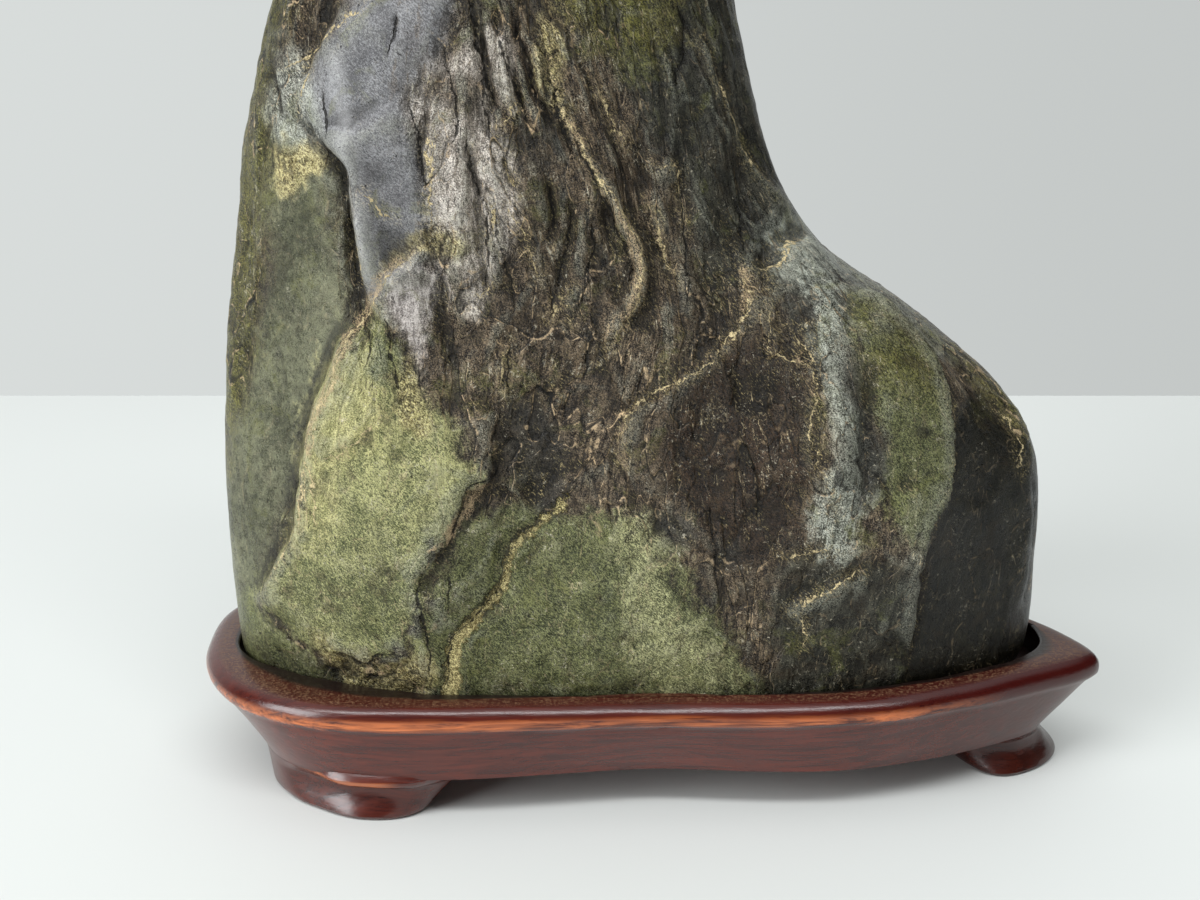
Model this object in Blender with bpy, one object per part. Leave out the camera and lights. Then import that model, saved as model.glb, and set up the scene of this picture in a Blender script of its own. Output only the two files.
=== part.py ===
"""A scholar's rock seated in its carved wooden stand.

Everything is designed in millimetres and scaled to metres as the meshes are made. +Z is up, the
feet stand on Z = 0, -Y is the front, and the origin is under the middle of the stand.
Run it with: blender --background --python part.py
"""

import math

import bmesh
import bpy
import numpy as np
from mathutils import Vector, noise

MM = 0.001

# ---- driving dimensions, millimetres ----
STAND_HEIGHT = 26.0
STAND_LIFT = 9.5  # clear height under the apron, between the feet
SOCKET_DEPTH = 6.0
SEAT_GAP = 0.3  # between the stone's underside and the socket's floor
SOCKET_CLEARANCE = 0.9  # round the stone's foot
SOCKET_EASE_RIGHT = 2.6  # extra room at the pointed end
UNDERCUT_FRONT = 6.5  # how far the apron slopes in, along the long sides
UNDERCUT_END = 11.8  # and at the two ends

SEAT_Z = STAND_HEIGHT - SOCKET_DEPTH + SEAT_GAP

# The rim's outer edge seen from above: rounded on the left, pointed on the right.
RIM_OUTLINE = [
    (-92.0, 6.0), (-89.6, -12.0), (-80.5, -26.5), (-66.0, -34.8), (-47.0, -37.0),
    (-22.0, -36.0), (0.0, -34.8), (22.0, -35.0), (42.0, -33.0), (60.0, -27.2),
    (76.0, -20.0), (88.0, -13.4), (90.4, -9.0), (87.5, -1.0), (82.0, 8.0),
    (70.0, 21.5), (48.0, 32.0), (16.0, 37.0), (-22.0, 37.4), (-56.0, 35.0),
    (-79.0, 27.0), (-89.0, 17.5),
]

# The stone's body, one row per level: height, left edge, right edge, front, back.
# The first row is the middle of its underside and the last row is its peak.
STONE_LEVELS = [
    (SEAT_Z, -3.0, -3.0, 0.0, 0.0),
    (SEAT_Z, -78.0, 70.5, -24.5, 25.5),
    (SEAT_Z + 2.0, -82.5, 75.0, -28.0, 29.5),
    (28.0, -84.4, 76.8, -29.5, 31.0),
    (42.0, -85.2, 77.0, -30.5, 32.0),
    (56.0, -85.2, 76.6, -30.5, 32.5),
    (68.0, -84.8, 74.6, -30.0, 32.0),
    (80.0, -83.8, 67.4, -29.0, 31.0),
    (90.0, -82.8, 56.0, -28.0, 29.5),
    (98.0, -81.7, 45.0, -27.0, 28.0),
    (106.0, -80.8, 33.0, -26.0, 27.0),
    (115.0, -79.5, 25.5, -25.5, 26.0),
    (130.0, -76.4, 19.1, -25.0, 25.0),
    (150.0, -70.8, 14.0, -24.0, 24.5),
    (168.0, -64.0, 12.5, -22.0, 23.0),
    (183.0, -56.5, 8.5, -19.0, 20.5),
    (196.0, -52.0, 2.5, -16.0, 17.5),
    (207.0, -45.5, -6.0, -12.0, 13.5),
    (215.0, -38.5, -14.0, -8.0, 9.5),
    (220.0, -32.0, -20.0, -4.5, 5.5),
    (222.0, -26.0, -26.0, 0.0, 0.0),
]
SECTION_POWER = 2.45  # superellipse power of a level's outline: over 2 is squarer

STONE_COLUMNS = 112
STONE_ROWS = 34
FRONT_CROWDING = 0.38  # how much the columns gather on the front face, 0 for even

# Relief. Points are (x, z) as seen from the front; side is -1 for the front and 1 for the back.
FRONT, BACK = -1, 1

# Swellings and hollows: side, centre, radii, tilt in degrees, height.
LUMPS = [
    (FRONT, (-46.0, 58.0), (17.0, 33.0), 8.0, 5.2),  # lower left bulge
    (FRONT, (-48.0, 92.0), (7.0, 14.0), -32.0, 2.2),  # its shoulder
    (FRONT, (-46.0, 134.0), (11.0, 26.0), -8.0, 3.4),  # upper left lobe
    (FRONT, (-22.0, 128.0), (9.0, 26.0), -14.0, 1.6),  # fluted face
    (FRONT, (-19.0, 68.0), (10.0, 22.0), -10.0, -3.2),  # hollow beside the bulge
    (FRONT, (-5.0, 42.0), (20.0, 20.0), 0.0, 1.8),  # low front face
    (FRONT, (10.0, 76.0), (12.0, 24.0), -20.0, -1.8),  # hollow under the neck
    (FRONT, (34.0, 70.0), (13.0, 26.0), 6.0, 4.2),  # right lobe
    (FRONT, (62.0, 52.0), (10.0, 34.0), 4.0, -1.8),  # right flank set back
    (FRONT, (-72.0, 92.0), (12.0, 34.0), 6.0, -2.4),  # left flank set back
    (FRONT, (16.0, 118.0), (5.0, 18.0), -8.0, -2.2),  # valley down the neck
    (FRONT, (-30.0, 186.0), (12.0, 20.0), 14.0, 2.6),  # spur below the peak
    (FRONT, (-4.0, 176.0), (8.0, 16.0), -6.0, -2.0),
    (BACK, (-40.0, 64.0), (24.0, 34.0), -10.0, 4.4),
    (BACK, (-6.0, 52.0), (9.0, 34.0), 10.0, -3.8),
    (BACK, (32.0, 56.0), (20.0, 28.0), 12.0, 3.6),
    (BACK, (60.0, 44.0), (9.0, 28.0), 8.0, -2.0),
    (BACK, (-58.0, 124.0), (9.0, 30.0), 10.0, 3.0),
    (BACK, (-22.0, 132.0), (8.0, 36.0), 12.0, -3.4),
    (BACK, (-6.0, 124.0), (8.0, 24.0), 4.0, 2.0),
    (BACK, (-34.0, 190.0), (10.0, 18.0), 16.0, -2.0),
]

# Ledges: side, points, height, how far the raised side reaches back, softness of the step.
# Going along the points, the raised side is on the left.
LEDGES = [
    (FRONT, [(-53, 99), (-60, 84), (-66, 66), (-71, 52), (-77, 40)], 4.2, 15.0, 3.2),
    (FRONT, [(-59, 152), (-63, 137), (-57, 125), (-54, 115), (-53, 99)], 4.0, 12.0, 2.6),
    (FRONT, [(-39, 48), (-38, 60), (-33, 67), (-29, 76), (-32, 90)], 4.0, 13.0, 2.4),
    (FRONT, [(-53, 99), (-46, 106), (-39, 111)][::-1], 1.6, 8.0, 2.4),
    (FRONT, [(-10, 91), (-3, 104), (-8, 116), (-16, 128), (-21, 147)], 2.8, 9.0, 2.4),
    (FRONT, [(-7, 78), (0, 85), (9, 90), (16, 99), (17, 107)], 1.8, 11.0, 2.4),
    (FRONT, [(18, 107), (23, 108), (28, 110), (36, 109)], -2.0, 9.0, 2.4),
    (FRONT, [(50, 28), (50, 50), (53, 63), (53, 80), (44, 93), (33, 102)], 3.8, 13.0, 2.4),
    (FRONT, [(30, 112), (20, 121), (13, 132), (8, 148)], 1.6, 5.0, 2.4),
    (BACK, [(-64, 38), (-58, 70), (-46, 92), (-30, 104)], 2.8, 13.0, 2.6),
    (BACK, [(-8, 30), (-2, 58), (12, 80), (18, 100)], 2.6, 12.0, 2.6),
    (BACK, [(-44, 112), (-36, 138), (-40, 166), (-34, 196)], 2.4, 10.0, 2.6),
    (BACK, [(60, 84), (50, 70), (52, 48), (46, 30)], 2.2, 10.0, 2.6),
]

# Grooves and ridges: side, points, width, height (a groove is negative).
FLUTES = [
    (FRONT, [(-33, 152), (-32, 136), (-27, 118), (-29, 100)], 2.4, -1.8),
    (FRONT, [(-27, 152), (-25, 134), (-18, 118), (-17, 102)], 2.2, 1.5),
    (FRONT, [(-25, 148), (-21, 132), (-13, 114), (-12, 98)], 2.2, -1.6),
    (FRONT, [(-17, 63), (-25, 57), (-31, 46), (-38, 37), (-38, 26)], 2.2, -1.3),
    (FRONT, [(4, 138), (6, 124), (3, 110), (4, 98)], 2.6, -0.9),
    (FRONT, [(30, 101), (31, 89), (32, 78), (34, 60)], 2.8, 1.2),
    (FRONT, [(70, 76), (73, 58), (74, 34)], 2.4, 1.2),
    (FRONT, [(-30, 168), (-26, 184), (-22, 204)], 3.0, -1.4),
    (BACK, [(-30, 30), (-26, 56), (-14, 84), (-12, 112)], 2.8, -1.8),
    (BACK, [(30, 30), (26, 52), (34, 72), (32, 92)], 2.8, -1.6),
    (BACK, [(-60, 88), (-64, 112), (-58, 140)], 2.6, -1.5),
    (BACK, [(-12, 150), (-14, 172), (-20, 200)], 2.8, -1.4),
]

SWELL_SIZE, SWELL_HEIGHT = 26.0, 1.3  # broad unevenness of the whole skin
CHIP_SIZE, CHIP_HEIGHT = 9.0, 0.55
NOISE_SEED = 4.0

# The stand's outer profile from the apron's foot to the rim: share of the undercut, height.
APRON_PROFILE = [(1.0, STAND_LIFT), (0.96, 10.3), (0.72, 13.0), (0.42, 17.2), (0.20, 20.4)]
# And the rounded lip above it: inset from the rim's outer edge, height.
LIP_PROFILE = [(0.8, 21.3), (0.1, 22.4), (0.0, 23.6), (0.5, 24.9), (1.5, 25.7), (3.0, STAND_HEIGHT)]
STAND_SEGMENTS = 72
SOCKET_ROUND = 0.7

# Feet: the outline of each on the floor, counter-clockwise seen from above.
FEET = {
    "front_left": [
        (-76.6, -15.5), (-71.7, -23.2), (-65.9, -27.9), (-57.5, -32.0), (-49.0, -31.6),
        (-44.2, -26.5), (-46.5, -16.0), (-60.0, -9.5), (-73.0, -8.5),
    ],
    "front_right": [
        (64.5, -9.0), (68.5, -14.6), (73.4, -15.3), (80.6, -11.2), (85.2, -4.9), (85.6, 1.5),
        (78.0, 6.5), (67.5, 3.5), (63.0, -3.0),
    ],
    "back_left": [
        (-78.0, 12.0), (-72.0, 9.0), (-60.0, 9.5), (-47.5, 15.5), (-45.5, 25.5), (-50.5, 31.0),
        (-60.5, 30.6), (-71.0, 25.5), (-77.5, 18.5),
    ],
    "back_right": [
        (30.0, 24.5), (33.0, 17.0), (46.0, 12.5), (60.0, 12.0), (65.5, 14.5), (63.0, 20.0),
        (53.0, 26.5), (42.0, 29.8), (33.0, 29.6),
    ],
}
# A foot's form by height: its spread about its own middle, and its shift toward the stand's.
FOOT_LEVELS = [
    (0.0, 0.96, 0.0), (0.9, 1.0, 0.0), (3.4, 0.98, 1.4), (6.0, 1.0, 2.4),
    (STAND_LIFT - 0.9, 1.07, 2.6), (STAND_LIFT + 2.5, 1.12, 2.6),
]
FOOT_SEGMENTS = 26

COLOURS = {
    "stone": ((0.105, 0.105, 0.070), 0.42),
    "stand": ((0.085, 0.022, 0.012), 0.28),
}


def clear_scene():
    for obj in list(bpy.data.objects):
        bpy.data.objects.remove(obj, do_unlink=True)


def smooth_step(value):
    t = np.clip(value, 0.0, 1.0)
    return t * t * (3.0 - 2.0 * t)


def closed_curve(points, count):
    """Evenly spaced points on a smooth closed curve through the given ones."""
    corners = np.array(points, float)
    dense = []
    for i in range(len(corners)):
        p0, p1, p2, p3 = (corners[(i + k - 1) % len(corners)] for k in range(4))
        for t in np.arange(24) / 24.0:
            dense.append(
                0.5 * (2 * p1 + (p2 - p0) * t + (2 * p0 - 5 * p1 + 4 * p2 - p3) * t**2
                       + (3 * p1 - p0 - 3 * p2 + p3) * t**3)
            )
    dense = np.array(dense + dense[:1])
    run = np.concatenate([[0.0], np.cumsum(np.linalg.norm(np.diff(dense, axis=0), axis=1))])
    at = np.arange(count) / count * run[-1]
    return np.stack([np.interp(at, run, dense[:, k]) for k in range(2)], axis=1)


def open_curve(points, steps=6):
    """The points of a smooth open curve through the given ones."""
    corners = np.array([points[0], *points, points[-1]], float)
    found = []
    for p0, p1, p2, p3 in zip(corners, corners[1:], corners[2:], corners[3:]):
        for t in np.arange(steps) / steps:
            found.append(
                0.5 * (2 * p1 + (p2 - p0) * t + (2 * p0 - 5 * p1 + 4 * p2 - p3) * t**2
                       + (3 * p1 - p0 - 3 * p2 + p3) * t**3)
            )
    return np.array(found + [corners[-1]])


def monotone(at, xs, ys):
    """Cubic interpolation that never swings past its own points."""
    step, rise = np.diff(xs), np.diff(ys)
    slope = rise / step
    tangent = np.concatenate([[slope[0]], (slope[1:] + slope[:-1]) / 2, [slope[-1]]])
    tangent[1:-1][slope[1:] * slope[:-1] <= 0] = 0.0
    steepest = 3 * np.minimum(np.abs(np.append(slope, slope[-1])), np.abs(np.insert(slope, 0, slope[0])))
    tangent = np.clip(tangent, -steepest, steepest)
    i = np.clip(np.searchsorted(xs, at, side="right") - 1, 0, len(step) - 1)
    t = (at - xs[i]) / step[i]
    return (
        ys[i] * (1 + 2 * t) * (1 - t) ** 2 + tangent[i] * step[i] * t * (1 - t) ** 2
        + ys[i + 1] * t**2 * (3 - 2 * t) + tangent[i + 1] * step[i] * t**2 * (t - 1)
    )


def plan_centre():
    """The middle of the rim's box, which becomes the origin."""
    outline = closed_curve(RIM_OUTLINE, 1440)
    return (outline.min(axis=0) + outline.max(axis=0)) / 2


# ---- the stone ----


def stone_body(angle, climb):
    """Points of the plain body. angle is 0 at the right end; climb runs from underside to peak."""
    levels = np.array(STONE_LEVELS)
    middle = (levels[:, 1] + levels[:, 2]) / 2
    half = (levels[:, 2] - levels[:, 1]) / 2
    # Levels are spaced by the distance between them on the skin, halfway between side and face.
    run = np.concatenate([[0.0], np.cumsum(np.hypot(np.diff(levels[:, 0]), np.diff(half) * 0.7))])
    at = climb * run[-1]
    z, cx, a = (monotone(at, run, column) for column in (levels[:, 0], middle, half))
    front, back = (monotone(at, run, levels[:, k]) for k in (3, 4))
    cos, sin = np.cos(angle), np.sin(angle)
    reach = (np.abs(cos) ** SECTION_POWER + np.abs(sin) ** SECTION_POWER) ** (-1 / SECTION_POWER)
    depth = np.where(sin < 0, -front, back)
    return np.stack([cx + a * cos * reach, depth * sin * reach, z], axis=1)


def measure_from(points, x, z):
    """For each place: distance to the curve, the same signed by side, and the share along it."""
    curve = open_curve(points)
    nearest = np.full(x.shape, 1e9)
    signed = np.zeros(x.shape)
    share = np.zeros(x.shape)
    spans = np.diff(curve, axis=0)
    lengths = np.linalg.norm(spans, axis=1)
    total, before = lengths.sum(), 0.0
    for (ax, az), (dx, dz), length in zip(curve, spans, lengths):
        t = np.clip(((x - ax) * dx + (z - az) * dz) / length**2, 0.0, 1.0)
        off_x, off_z = x - ax - t * dx, z - az - t * dz
        distance = np.hypot(off_x, off_z)
        closer = distance < nearest
        nearest = np.where(closer, distance, nearest)
        signed = np.where(closer, np.sign(dx * off_z - dz * off_x) * distance, signed)
        share = np.where(closer, (before + t * length) / total, share)
        before += length
    return nearest, signed, share


def facing(side, points, normals):
    """1 where the skin faces that side, fading to 0 round its edges."""
    return smooth_step((normals[:, 1] * side - 0.05) / 0.45)


def stone_relief(points, normals):
    """Height of the relief along the normal at each point of the body."""
    x, z = points[:, 0], points[:, 2]
    height = np.zeros(len(points))
    shown = {side: facing(side, points, normals) for side in (FRONT, BACK)}
    for side, (cx, cz), (rx, rz), tilt, rise in LUMPS:
        turn = math.radians(tilt)
        u = (x - cx) * math.cos(turn) + (z - cz) * math.sin(turn)
        v = (z - cz) * math.cos(turn) - (x - cx) * math.sin(turn)
        height += shown[side] * rise * np.exp(-((u / rx) ** 2) - (v / rz) ** 2)
    for side, curve, rise, reach, softness in LEDGES:
        near, signed, share = measure_from(curve, x, z)
        ends = smooth_step(np.minimum(share, 1 - share) / 0.16)
        step = smooth_step(0.5 + signed / (2 * softness)) * np.exp(-np.maximum(signed, 0) / reach)
        height += shown[side] * rise * ends * step
    for side, curve, width, rise in FLUTES:
        near, signed, share = measure_from(curve, x, z)
        ends = smooth_step(np.minimum(share, 1 - share) / 0.2)
        height += shown[side] * rise * ends * np.exp(-((near / width) ** 2))
    for i, point in enumerate(points):
        place = Vector(point) + Vector((0.0, NOISE_SEED * 10.0, 0.0))
        stretched = Vector((place.x, place.y, place.z * 0.55))
        height[i] += SWELL_HEIGHT * noise.noise(stretched / SWELL_SIZE)
        height[i] += CHIP_HEIGHT * noise.noise(stretched / CHIP_SIZE)
    return height


def stone_mesh():
    """A sphere's grid laid over the body, then raised by the relief."""
    mesh = bpy.data.meshes.new("stone")
    form = bmesh.new()
    bmesh.ops.create_uvsphere(form, u_segments=STONE_COLUMNS, v_segments=STONE_ROWS, radius=1.0)
    ball = np.array([v.co for v in form.verts])
    turn = np.arctan2(ball[:, 1], ball[:, 0])
    turn = turn - FRONT_CROWDING * np.cos(turn)
    climb = 0.5 + np.arcsin(np.clip(ball[:, 2], -1.0, 1.0)) / math.pi
    body = stone_body(turn, climb)
    for vertex, place in zip(form.verts, body):
        vertex.co = place
    form.normal_update()
    normals = np.array([v.normal for v in form.verts])
    # The underside stays flat, and the relief fades in above it.
    rise = stone_relief(body, normals) * smooth_step((body[:, 2] - SEAT_Z) / 4.0)
    for vertex, place, normal, height in zip(form.verts, body, normals, rise):
        vertex.co = place + normal * height
    form.to_mesh(mesh)
    form.free()
    return mesh


# ---- the stand ----


def drawn_in(outline, distance):
    """The outline with every point moved that far toward the middle."""
    reach = np.linalg.norm(outline, axis=1)
    return outline * (1 - distance / reach)[:, None]


def socket_outline(stone, outline):
    """The socket's wall: the stone's own outline at the rim, with clearance."""
    cut = bmesh.new()
    cut.from_mesh(stone)
    found = bmesh.ops.bisect_plane(
        cut, geom=cut.verts[:] + cut.edges[:] + cut.faces[:],
        plane_co=(0, 0, STAND_HEIGHT - 0.5), plane_no=(0, 0, 1),
    )
    ring = np.array([v.co[:2] for v in found["geom_cut"] if isinstance(v, bmesh.types.BMVert)])
    cut.free()
    bearing = np.arctan2(ring[:, 1], ring[:, 0])
    order = np.argsort(bearing)
    bearing, radius = bearing[order], np.hypot(ring[:, 0], ring[:, 1])[order]
    wanted = np.arctan2(outline[:, 1], outline[:, 0])
    reach = np.interp(wanted, bearing, radius, period=2 * math.pi)
    ease = SOCKET_CLEARANCE + SOCKET_EASE_RIGHT * np.maximum(np.cos(wanted), 0) ** 24
    return np.stack([np.cos(wanted), np.sin(wanted)], axis=1) * (reach + ease)[:, None]


def stacked_rings(rings):
    """A closed skin through rings of points, each ring extruded from the one before."""
    form = bmesh.new()
    made = bmesh.ops.create_circle(form, segments=len(rings[0]), radius=1.0)
    edge_ring = list({edge for vertex in made["verts"] for edge in vertex.link_edges})
    verts = made["verts"]
    bottom = list(verts)
    for vertex, place in zip(verts, rings[0]):
        vertex.co = place
    for ring in rings[1:]:
        grown = bmesh.ops.extrude_edge_only(form, edges=edge_ring)["geom"]
        edge_ring = [item for item in grown if isinstance(item, bmesh.types.BMEdge)]
        fresh = {item for item in grown if isinstance(item, bmesh.types.BMVert)}
        verts = [
            next(edge.other_vert(vertex) for edge in vertex.link_edges
                 if edge.other_vert(vertex) in fresh)
            for vertex in verts
        ]
        edge_ring = [edge for edge in edge_ring if all(v in fresh for v in edge.verts)]
        for vertex, place in zip(verts, ring):
            vertex.co = place
    form.faces.new(bottom)
    form.faces.new(verts)
    bmesh.ops.recalc_face_normals(form, faces=form.faces)
    return form


def at_height(outline, z):
    return [(x, y, z) for x, y in outline]


def stand_body_mesh(stone):
    """The tray: sloping apron, rounded lip, flat rim and the socket cut to the stone."""
    outline = closed_curve(RIM_OUTLINE, STAND_SEGMENTS)
    toward_end = np.abs(outline[:, 0]) / np.abs(outline[:, 0]).max()
    undercut = UNDERCUT_FRONT + (UNDERCUT_END - UNDERCUT_FRONT) * toward_end**4
    rings = [at_height(drawn_in(outline, undercut * share), z) for share, z in APRON_PROFILE]
    rings += [at_height(drawn_in(outline, inset), z) for inset, z in LIP_PROFILE]
    socket = socket_outline(stone, outline)
    reach = np.linalg.norm(socket, axis=1)[:, None]
    rings.append(at_height(socket * (1 + SOCKET_ROUND / reach), STAND_HEIGHT))
    rings.append(at_height(socket, STAND_HEIGHT - SOCKET_ROUND))
    rings.append(at_height(socket, STAND_HEIGHT - SOCKET_DEPTH))
    form = stacked_rings(rings)
    mesh = bpy.data.meshes.new("stand")
    form.to_mesh(mesh)
    form.free()
    return mesh


def foot_mesh(name, floor_outline):
    """One bracket foot: turned out at the floor, spreading into the apron above."""
    outline = closed_curve(floor_outline, FOOT_SEGMENTS)
    middle = outline.mean(axis=0)
    inward = -middle / np.linalg.norm(middle)
    rings = [at_height(middle + (outline - middle) * spread + inward * shift, z)
             for z, spread, shift in FOOT_LEVELS]
    form = stacked_rings(rings)
    mesh = bpy.data.meshes.new(name)
    form.to_mesh(mesh)
    form.free()
    return mesh


# ---- objects ----


def finish_mesh(mesh, centre):
    """Moves a mesh from design millimetres to metres about the origin."""
    for vertex in mesh.vertices:
        vertex.co = Vector((vertex.co.x - centre[0], vertex.co.y - centre[1], vertex.co.z)) * MM


def material(name):
    (red, green, blue), roughness = COLOURS[name]
    made = bpy.data.materials.new(name)
    made.use_nodes = True
    shader = made.node_tree.nodes["Principled BSDF"]
    shader.inputs["Base Color"].default_value = (red, green, blue, 1.0)
    shader.inputs["Roughness"].default_value = roughness
    return made


def add_object(name, mesh, collection):
    obj = bpy.data.objects.new(name, mesh)
    collection.objects.link(obj)
    return obj


def build():
    clear_scene()
    parts = bpy.data.collections.new("scholars_rock")
    helpers = bpy.data.collections.new("foot_blanks")
    bpy.context.scene.collection.children.link(parts)
    bpy.context.scene.collection.children.link(helpers)
    centre = plan_centre()

    stone = stone_mesh()
    tray = stand_body_mesh(stone)
    stand = add_object("stand", tray, parts)
    for name, floor_outline in FEET.items():
        blank = add_object("foot_" + name, foot_mesh(name, floor_outline), helpers)
        finish_mesh(blank.data, centre)
        blank.hide_render = True
        blank.display_type = "WIRE"
        join = stand.modifiers.new(name, "BOOLEAN")
        join.operation = "UNION"
        join.object = blank
    finish_mesh(tray, centre)
    stand.data.materials.append(material("stand"))

    finish_mesh(stone, centre)
    rock = add_object("stone", stone, parts)
    rock.data.materials.append(material("stone"))
    for obj in (stand, rock):
        obj.data.shade_smooth()
    stand.data.set_sharp_from_angle(angle=math.radians(40))


build()
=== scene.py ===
import math

import bmesh
import bpy
import numpy as np
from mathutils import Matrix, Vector, noise


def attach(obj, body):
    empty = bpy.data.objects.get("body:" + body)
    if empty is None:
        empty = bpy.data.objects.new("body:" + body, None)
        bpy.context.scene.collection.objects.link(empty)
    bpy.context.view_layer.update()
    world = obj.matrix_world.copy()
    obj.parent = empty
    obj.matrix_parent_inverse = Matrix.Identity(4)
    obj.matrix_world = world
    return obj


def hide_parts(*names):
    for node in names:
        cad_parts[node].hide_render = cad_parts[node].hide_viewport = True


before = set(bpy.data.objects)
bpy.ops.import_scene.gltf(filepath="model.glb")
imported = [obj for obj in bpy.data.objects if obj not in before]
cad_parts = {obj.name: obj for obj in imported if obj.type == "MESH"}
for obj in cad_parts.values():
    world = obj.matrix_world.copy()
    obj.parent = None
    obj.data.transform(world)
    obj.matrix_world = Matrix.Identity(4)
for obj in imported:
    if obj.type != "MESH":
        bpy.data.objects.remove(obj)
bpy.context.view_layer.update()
mm = 0.001  # every size below is in millimetres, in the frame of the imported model

print("stage: camera, light and table")

view = {"place": (-9.8, -287.9, 153.0), "lens": 45.0, "sensor": 36.0, "tilt": 73.0, "nearest": 5.0}
light = {
    # place, size across, size down, watts, colour
    "lamps": {
        "window": ((-2600, -1850, 1220), 1560, 1930, 84.0, (0.95, 0.98, 1.0)),
        "overhead": ((-60, -760, 1300), 1900, 260, 15.0, (0.97, 0.99, 1.0)),
    },
    "aim": (0, 0, 95),
    "wall": (0.69, 0.72, 0.71),  # behind the stone
    "wallFade": 0.80,  # how bright the wall still is at its right end
    "room": (0.13, 0.135, 0.14),  # behind the camera
    "right": (0.05, 0.052, 0.05),  # the unlit side
    "top": (0.78, 0.81, 0.82),  # overhead
}
table = {"left": -900, "right": 900, "near": -700, "far": 286, "tone": (226, 228, 225), "roughness": 0.6}


def tint(red, green, blue):
    # a colour written as it shows on a screen, made linear
    shares = [value / 255 for value in (red, green, blue)]
    linear = [share / 12.92 if share <= 0.04045 else ((share + 0.055) / 1.055) ** 2.4 for share in shares]
    return (*linear, 1.0)


def glow(colour, share=1.0):
    return (*[value * share for value in colour], 1.0)


scene = bpy.context.scene
scene.view_settings.view_transform = "Standard"


def addObject(name, data):
    made = bpy.data.objects.new(name, data)
    scene.collection.objects.link(made)
    return made


def toMesh(form, name):
    mesh = bpy.data.meshes.new(name)
    form.to_mesh(mesh)
    form.free()
    return mesh


camera = addObject("camera", bpy.data.cameras.new("camera"))
camera.data.lens = view["lens"]
camera.data.sensor_width = view["sensor"]
camera.data.clip_start = view["nearest"] * mm
camera.location = Vector(view["place"]) * mm
camera.rotation_euler = (math.radians(view["tilt"]), 0, 0)
scene.camera = camera

for name, (place, across, down, watts, colour) in light["lamps"].items():
    lamp = addObject(name, bpy.data.lights.new(name, "AREA"))
    lamp.data.shape = "RECTANGLE"
    lamp.data.size = across * mm
    lamp.data.size_y = down * mm
    lamp.data.energy = watts
    lamp.data.color = colour
    lamp.location = Vector(place) * mm
    aim = Vector(light["aim"]) - Vector(place)
    lamp.rotation_euler = aim.to_track_quat("-Z", "Y").to_euler()


def feed(node, values):
    # a value or a link for each of these sockets of a node
    for name, value in values.items():
        if isinstance(value, Socket):
            value.tree.links.new(value.output, node.inputs[name])
        else:
            node.inputs[name].default_value = value


class Socket:
    # one output of a node; arithmetic on it adds the Math nodes

    def __init__(self, tree, output=None):
        self.tree = tree
        self.output = output

    def node(self, kind, settings=None, inputs=None, output=0):
        made = self.tree.nodes.new(kind)
        for name, value in (settings or {}).items():
            setattr(made, name, value)
        feed(made, inputs or {})
        return Socket(self.tree, made.outputs[output])

    def math(self, operation, first, second=0.0):
        return self.node("ShaderNodeMath", {"operation": operation}, {0: first, 1: second})

    def __add__(self, other):
        return self.math("ADD", self, other)

    def __sub__(self, other):
        return self.math("SUBTRACT", self, other)

    def __mul__(self, other):
        return self.math("MULTIPLY", self, other)

    def __rsub__(self, other):
        return self.math("SUBTRACT", other, self)

    __radd__ = __add__
    __rmul__ = __mul__

    def size(self):
        return self.math("ABSOLUTE", self)

    def most(self, other):
        return self.math("MAXIMUM", self, other)

    def scaled(self, share):
        # for a colour or a vector
        return self.node("ShaderNodeVectorMath", {"operation": "SCALE"}, {0: self, "Scale": share})

    def ramp(self, low, high, start=0.0, end=1.0):
        # start below low, end above high, and a smooth step between them
        return self.node(
            "ShaderNodeMapRange",
            {"interpolation_type": "SMOOTHSTEP"},
            {"Value": self, "From Min": low, "From Max": high, "To Min": start, "To Max": end},
        )

    def blend(self, colourA, colourB):
        # colourA where this is 0, colourB where it is 1
        return self.node(
            "ShaderNodeMix",
            {"data_type": "RGBA", "clamp_factor": True},
            {0: self, 6: colourA, 7: colourB},
            output=2,
        )

    def noise(self, scale, detail=2.0, roughness=0.5, distortion=0.0):
        return self.node(
            "ShaderNodeTexNoise",
            {"noise_dimensions": "3D"},
            {"Vector": self, "Scale": scale, "Detail": detail, "Roughness": roughness,
             "Distortion": distortion},
        )

    def together(self, x, y, z):
        return self.node("ShaderNodeCombineXYZ", None, {0: x, 1: y, 2: z})

    def apart(self):
        split = self.node("ShaderNodeSeparateXYZ", None, {0: self}).output.node
        return [Socket(self.tree, output) for output in split.outputs]


world = bpy.data.worlds.new("room")
world.use_nodes = True
facingWay = Socket(world.node_tree).node("ShaderNodeTexCoord", output="Generated")
sideways, awayFromCamera, upward = facingWay.apart()
wall = sideways.ramp(-0.45, 0.45).blend(glow(light["wall"]), glow(light["wall"], light["wallFade"]))
wall = sideways.ramp(0.46, 0.70).blend(wall, glow(light["right"]))
around = sideways.ramp(-0.1, 0.7).blend(glow(light["room"]), glow(light["right"]))
around = upward.ramp(0.55, 0.85).blend(around, glow(light["top"]))
feed(world.node_tree.nodes["Background"], {"Color": awayFromCamera.ramp(0.1, 0.7).blend(around, wall)})
scene.world = world


def newMaterial(name):
    made = bpy.data.materials.new(name)
    made.use_nodes = True
    place = Socket(made.node_tree).node("ShaderNodeTexCoord", output="Object")
    # one unit of this vector is one millimetre
    return made, made.node_tree.nodes["Principled BSDF"], place.scaled(1 / mm)


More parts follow.
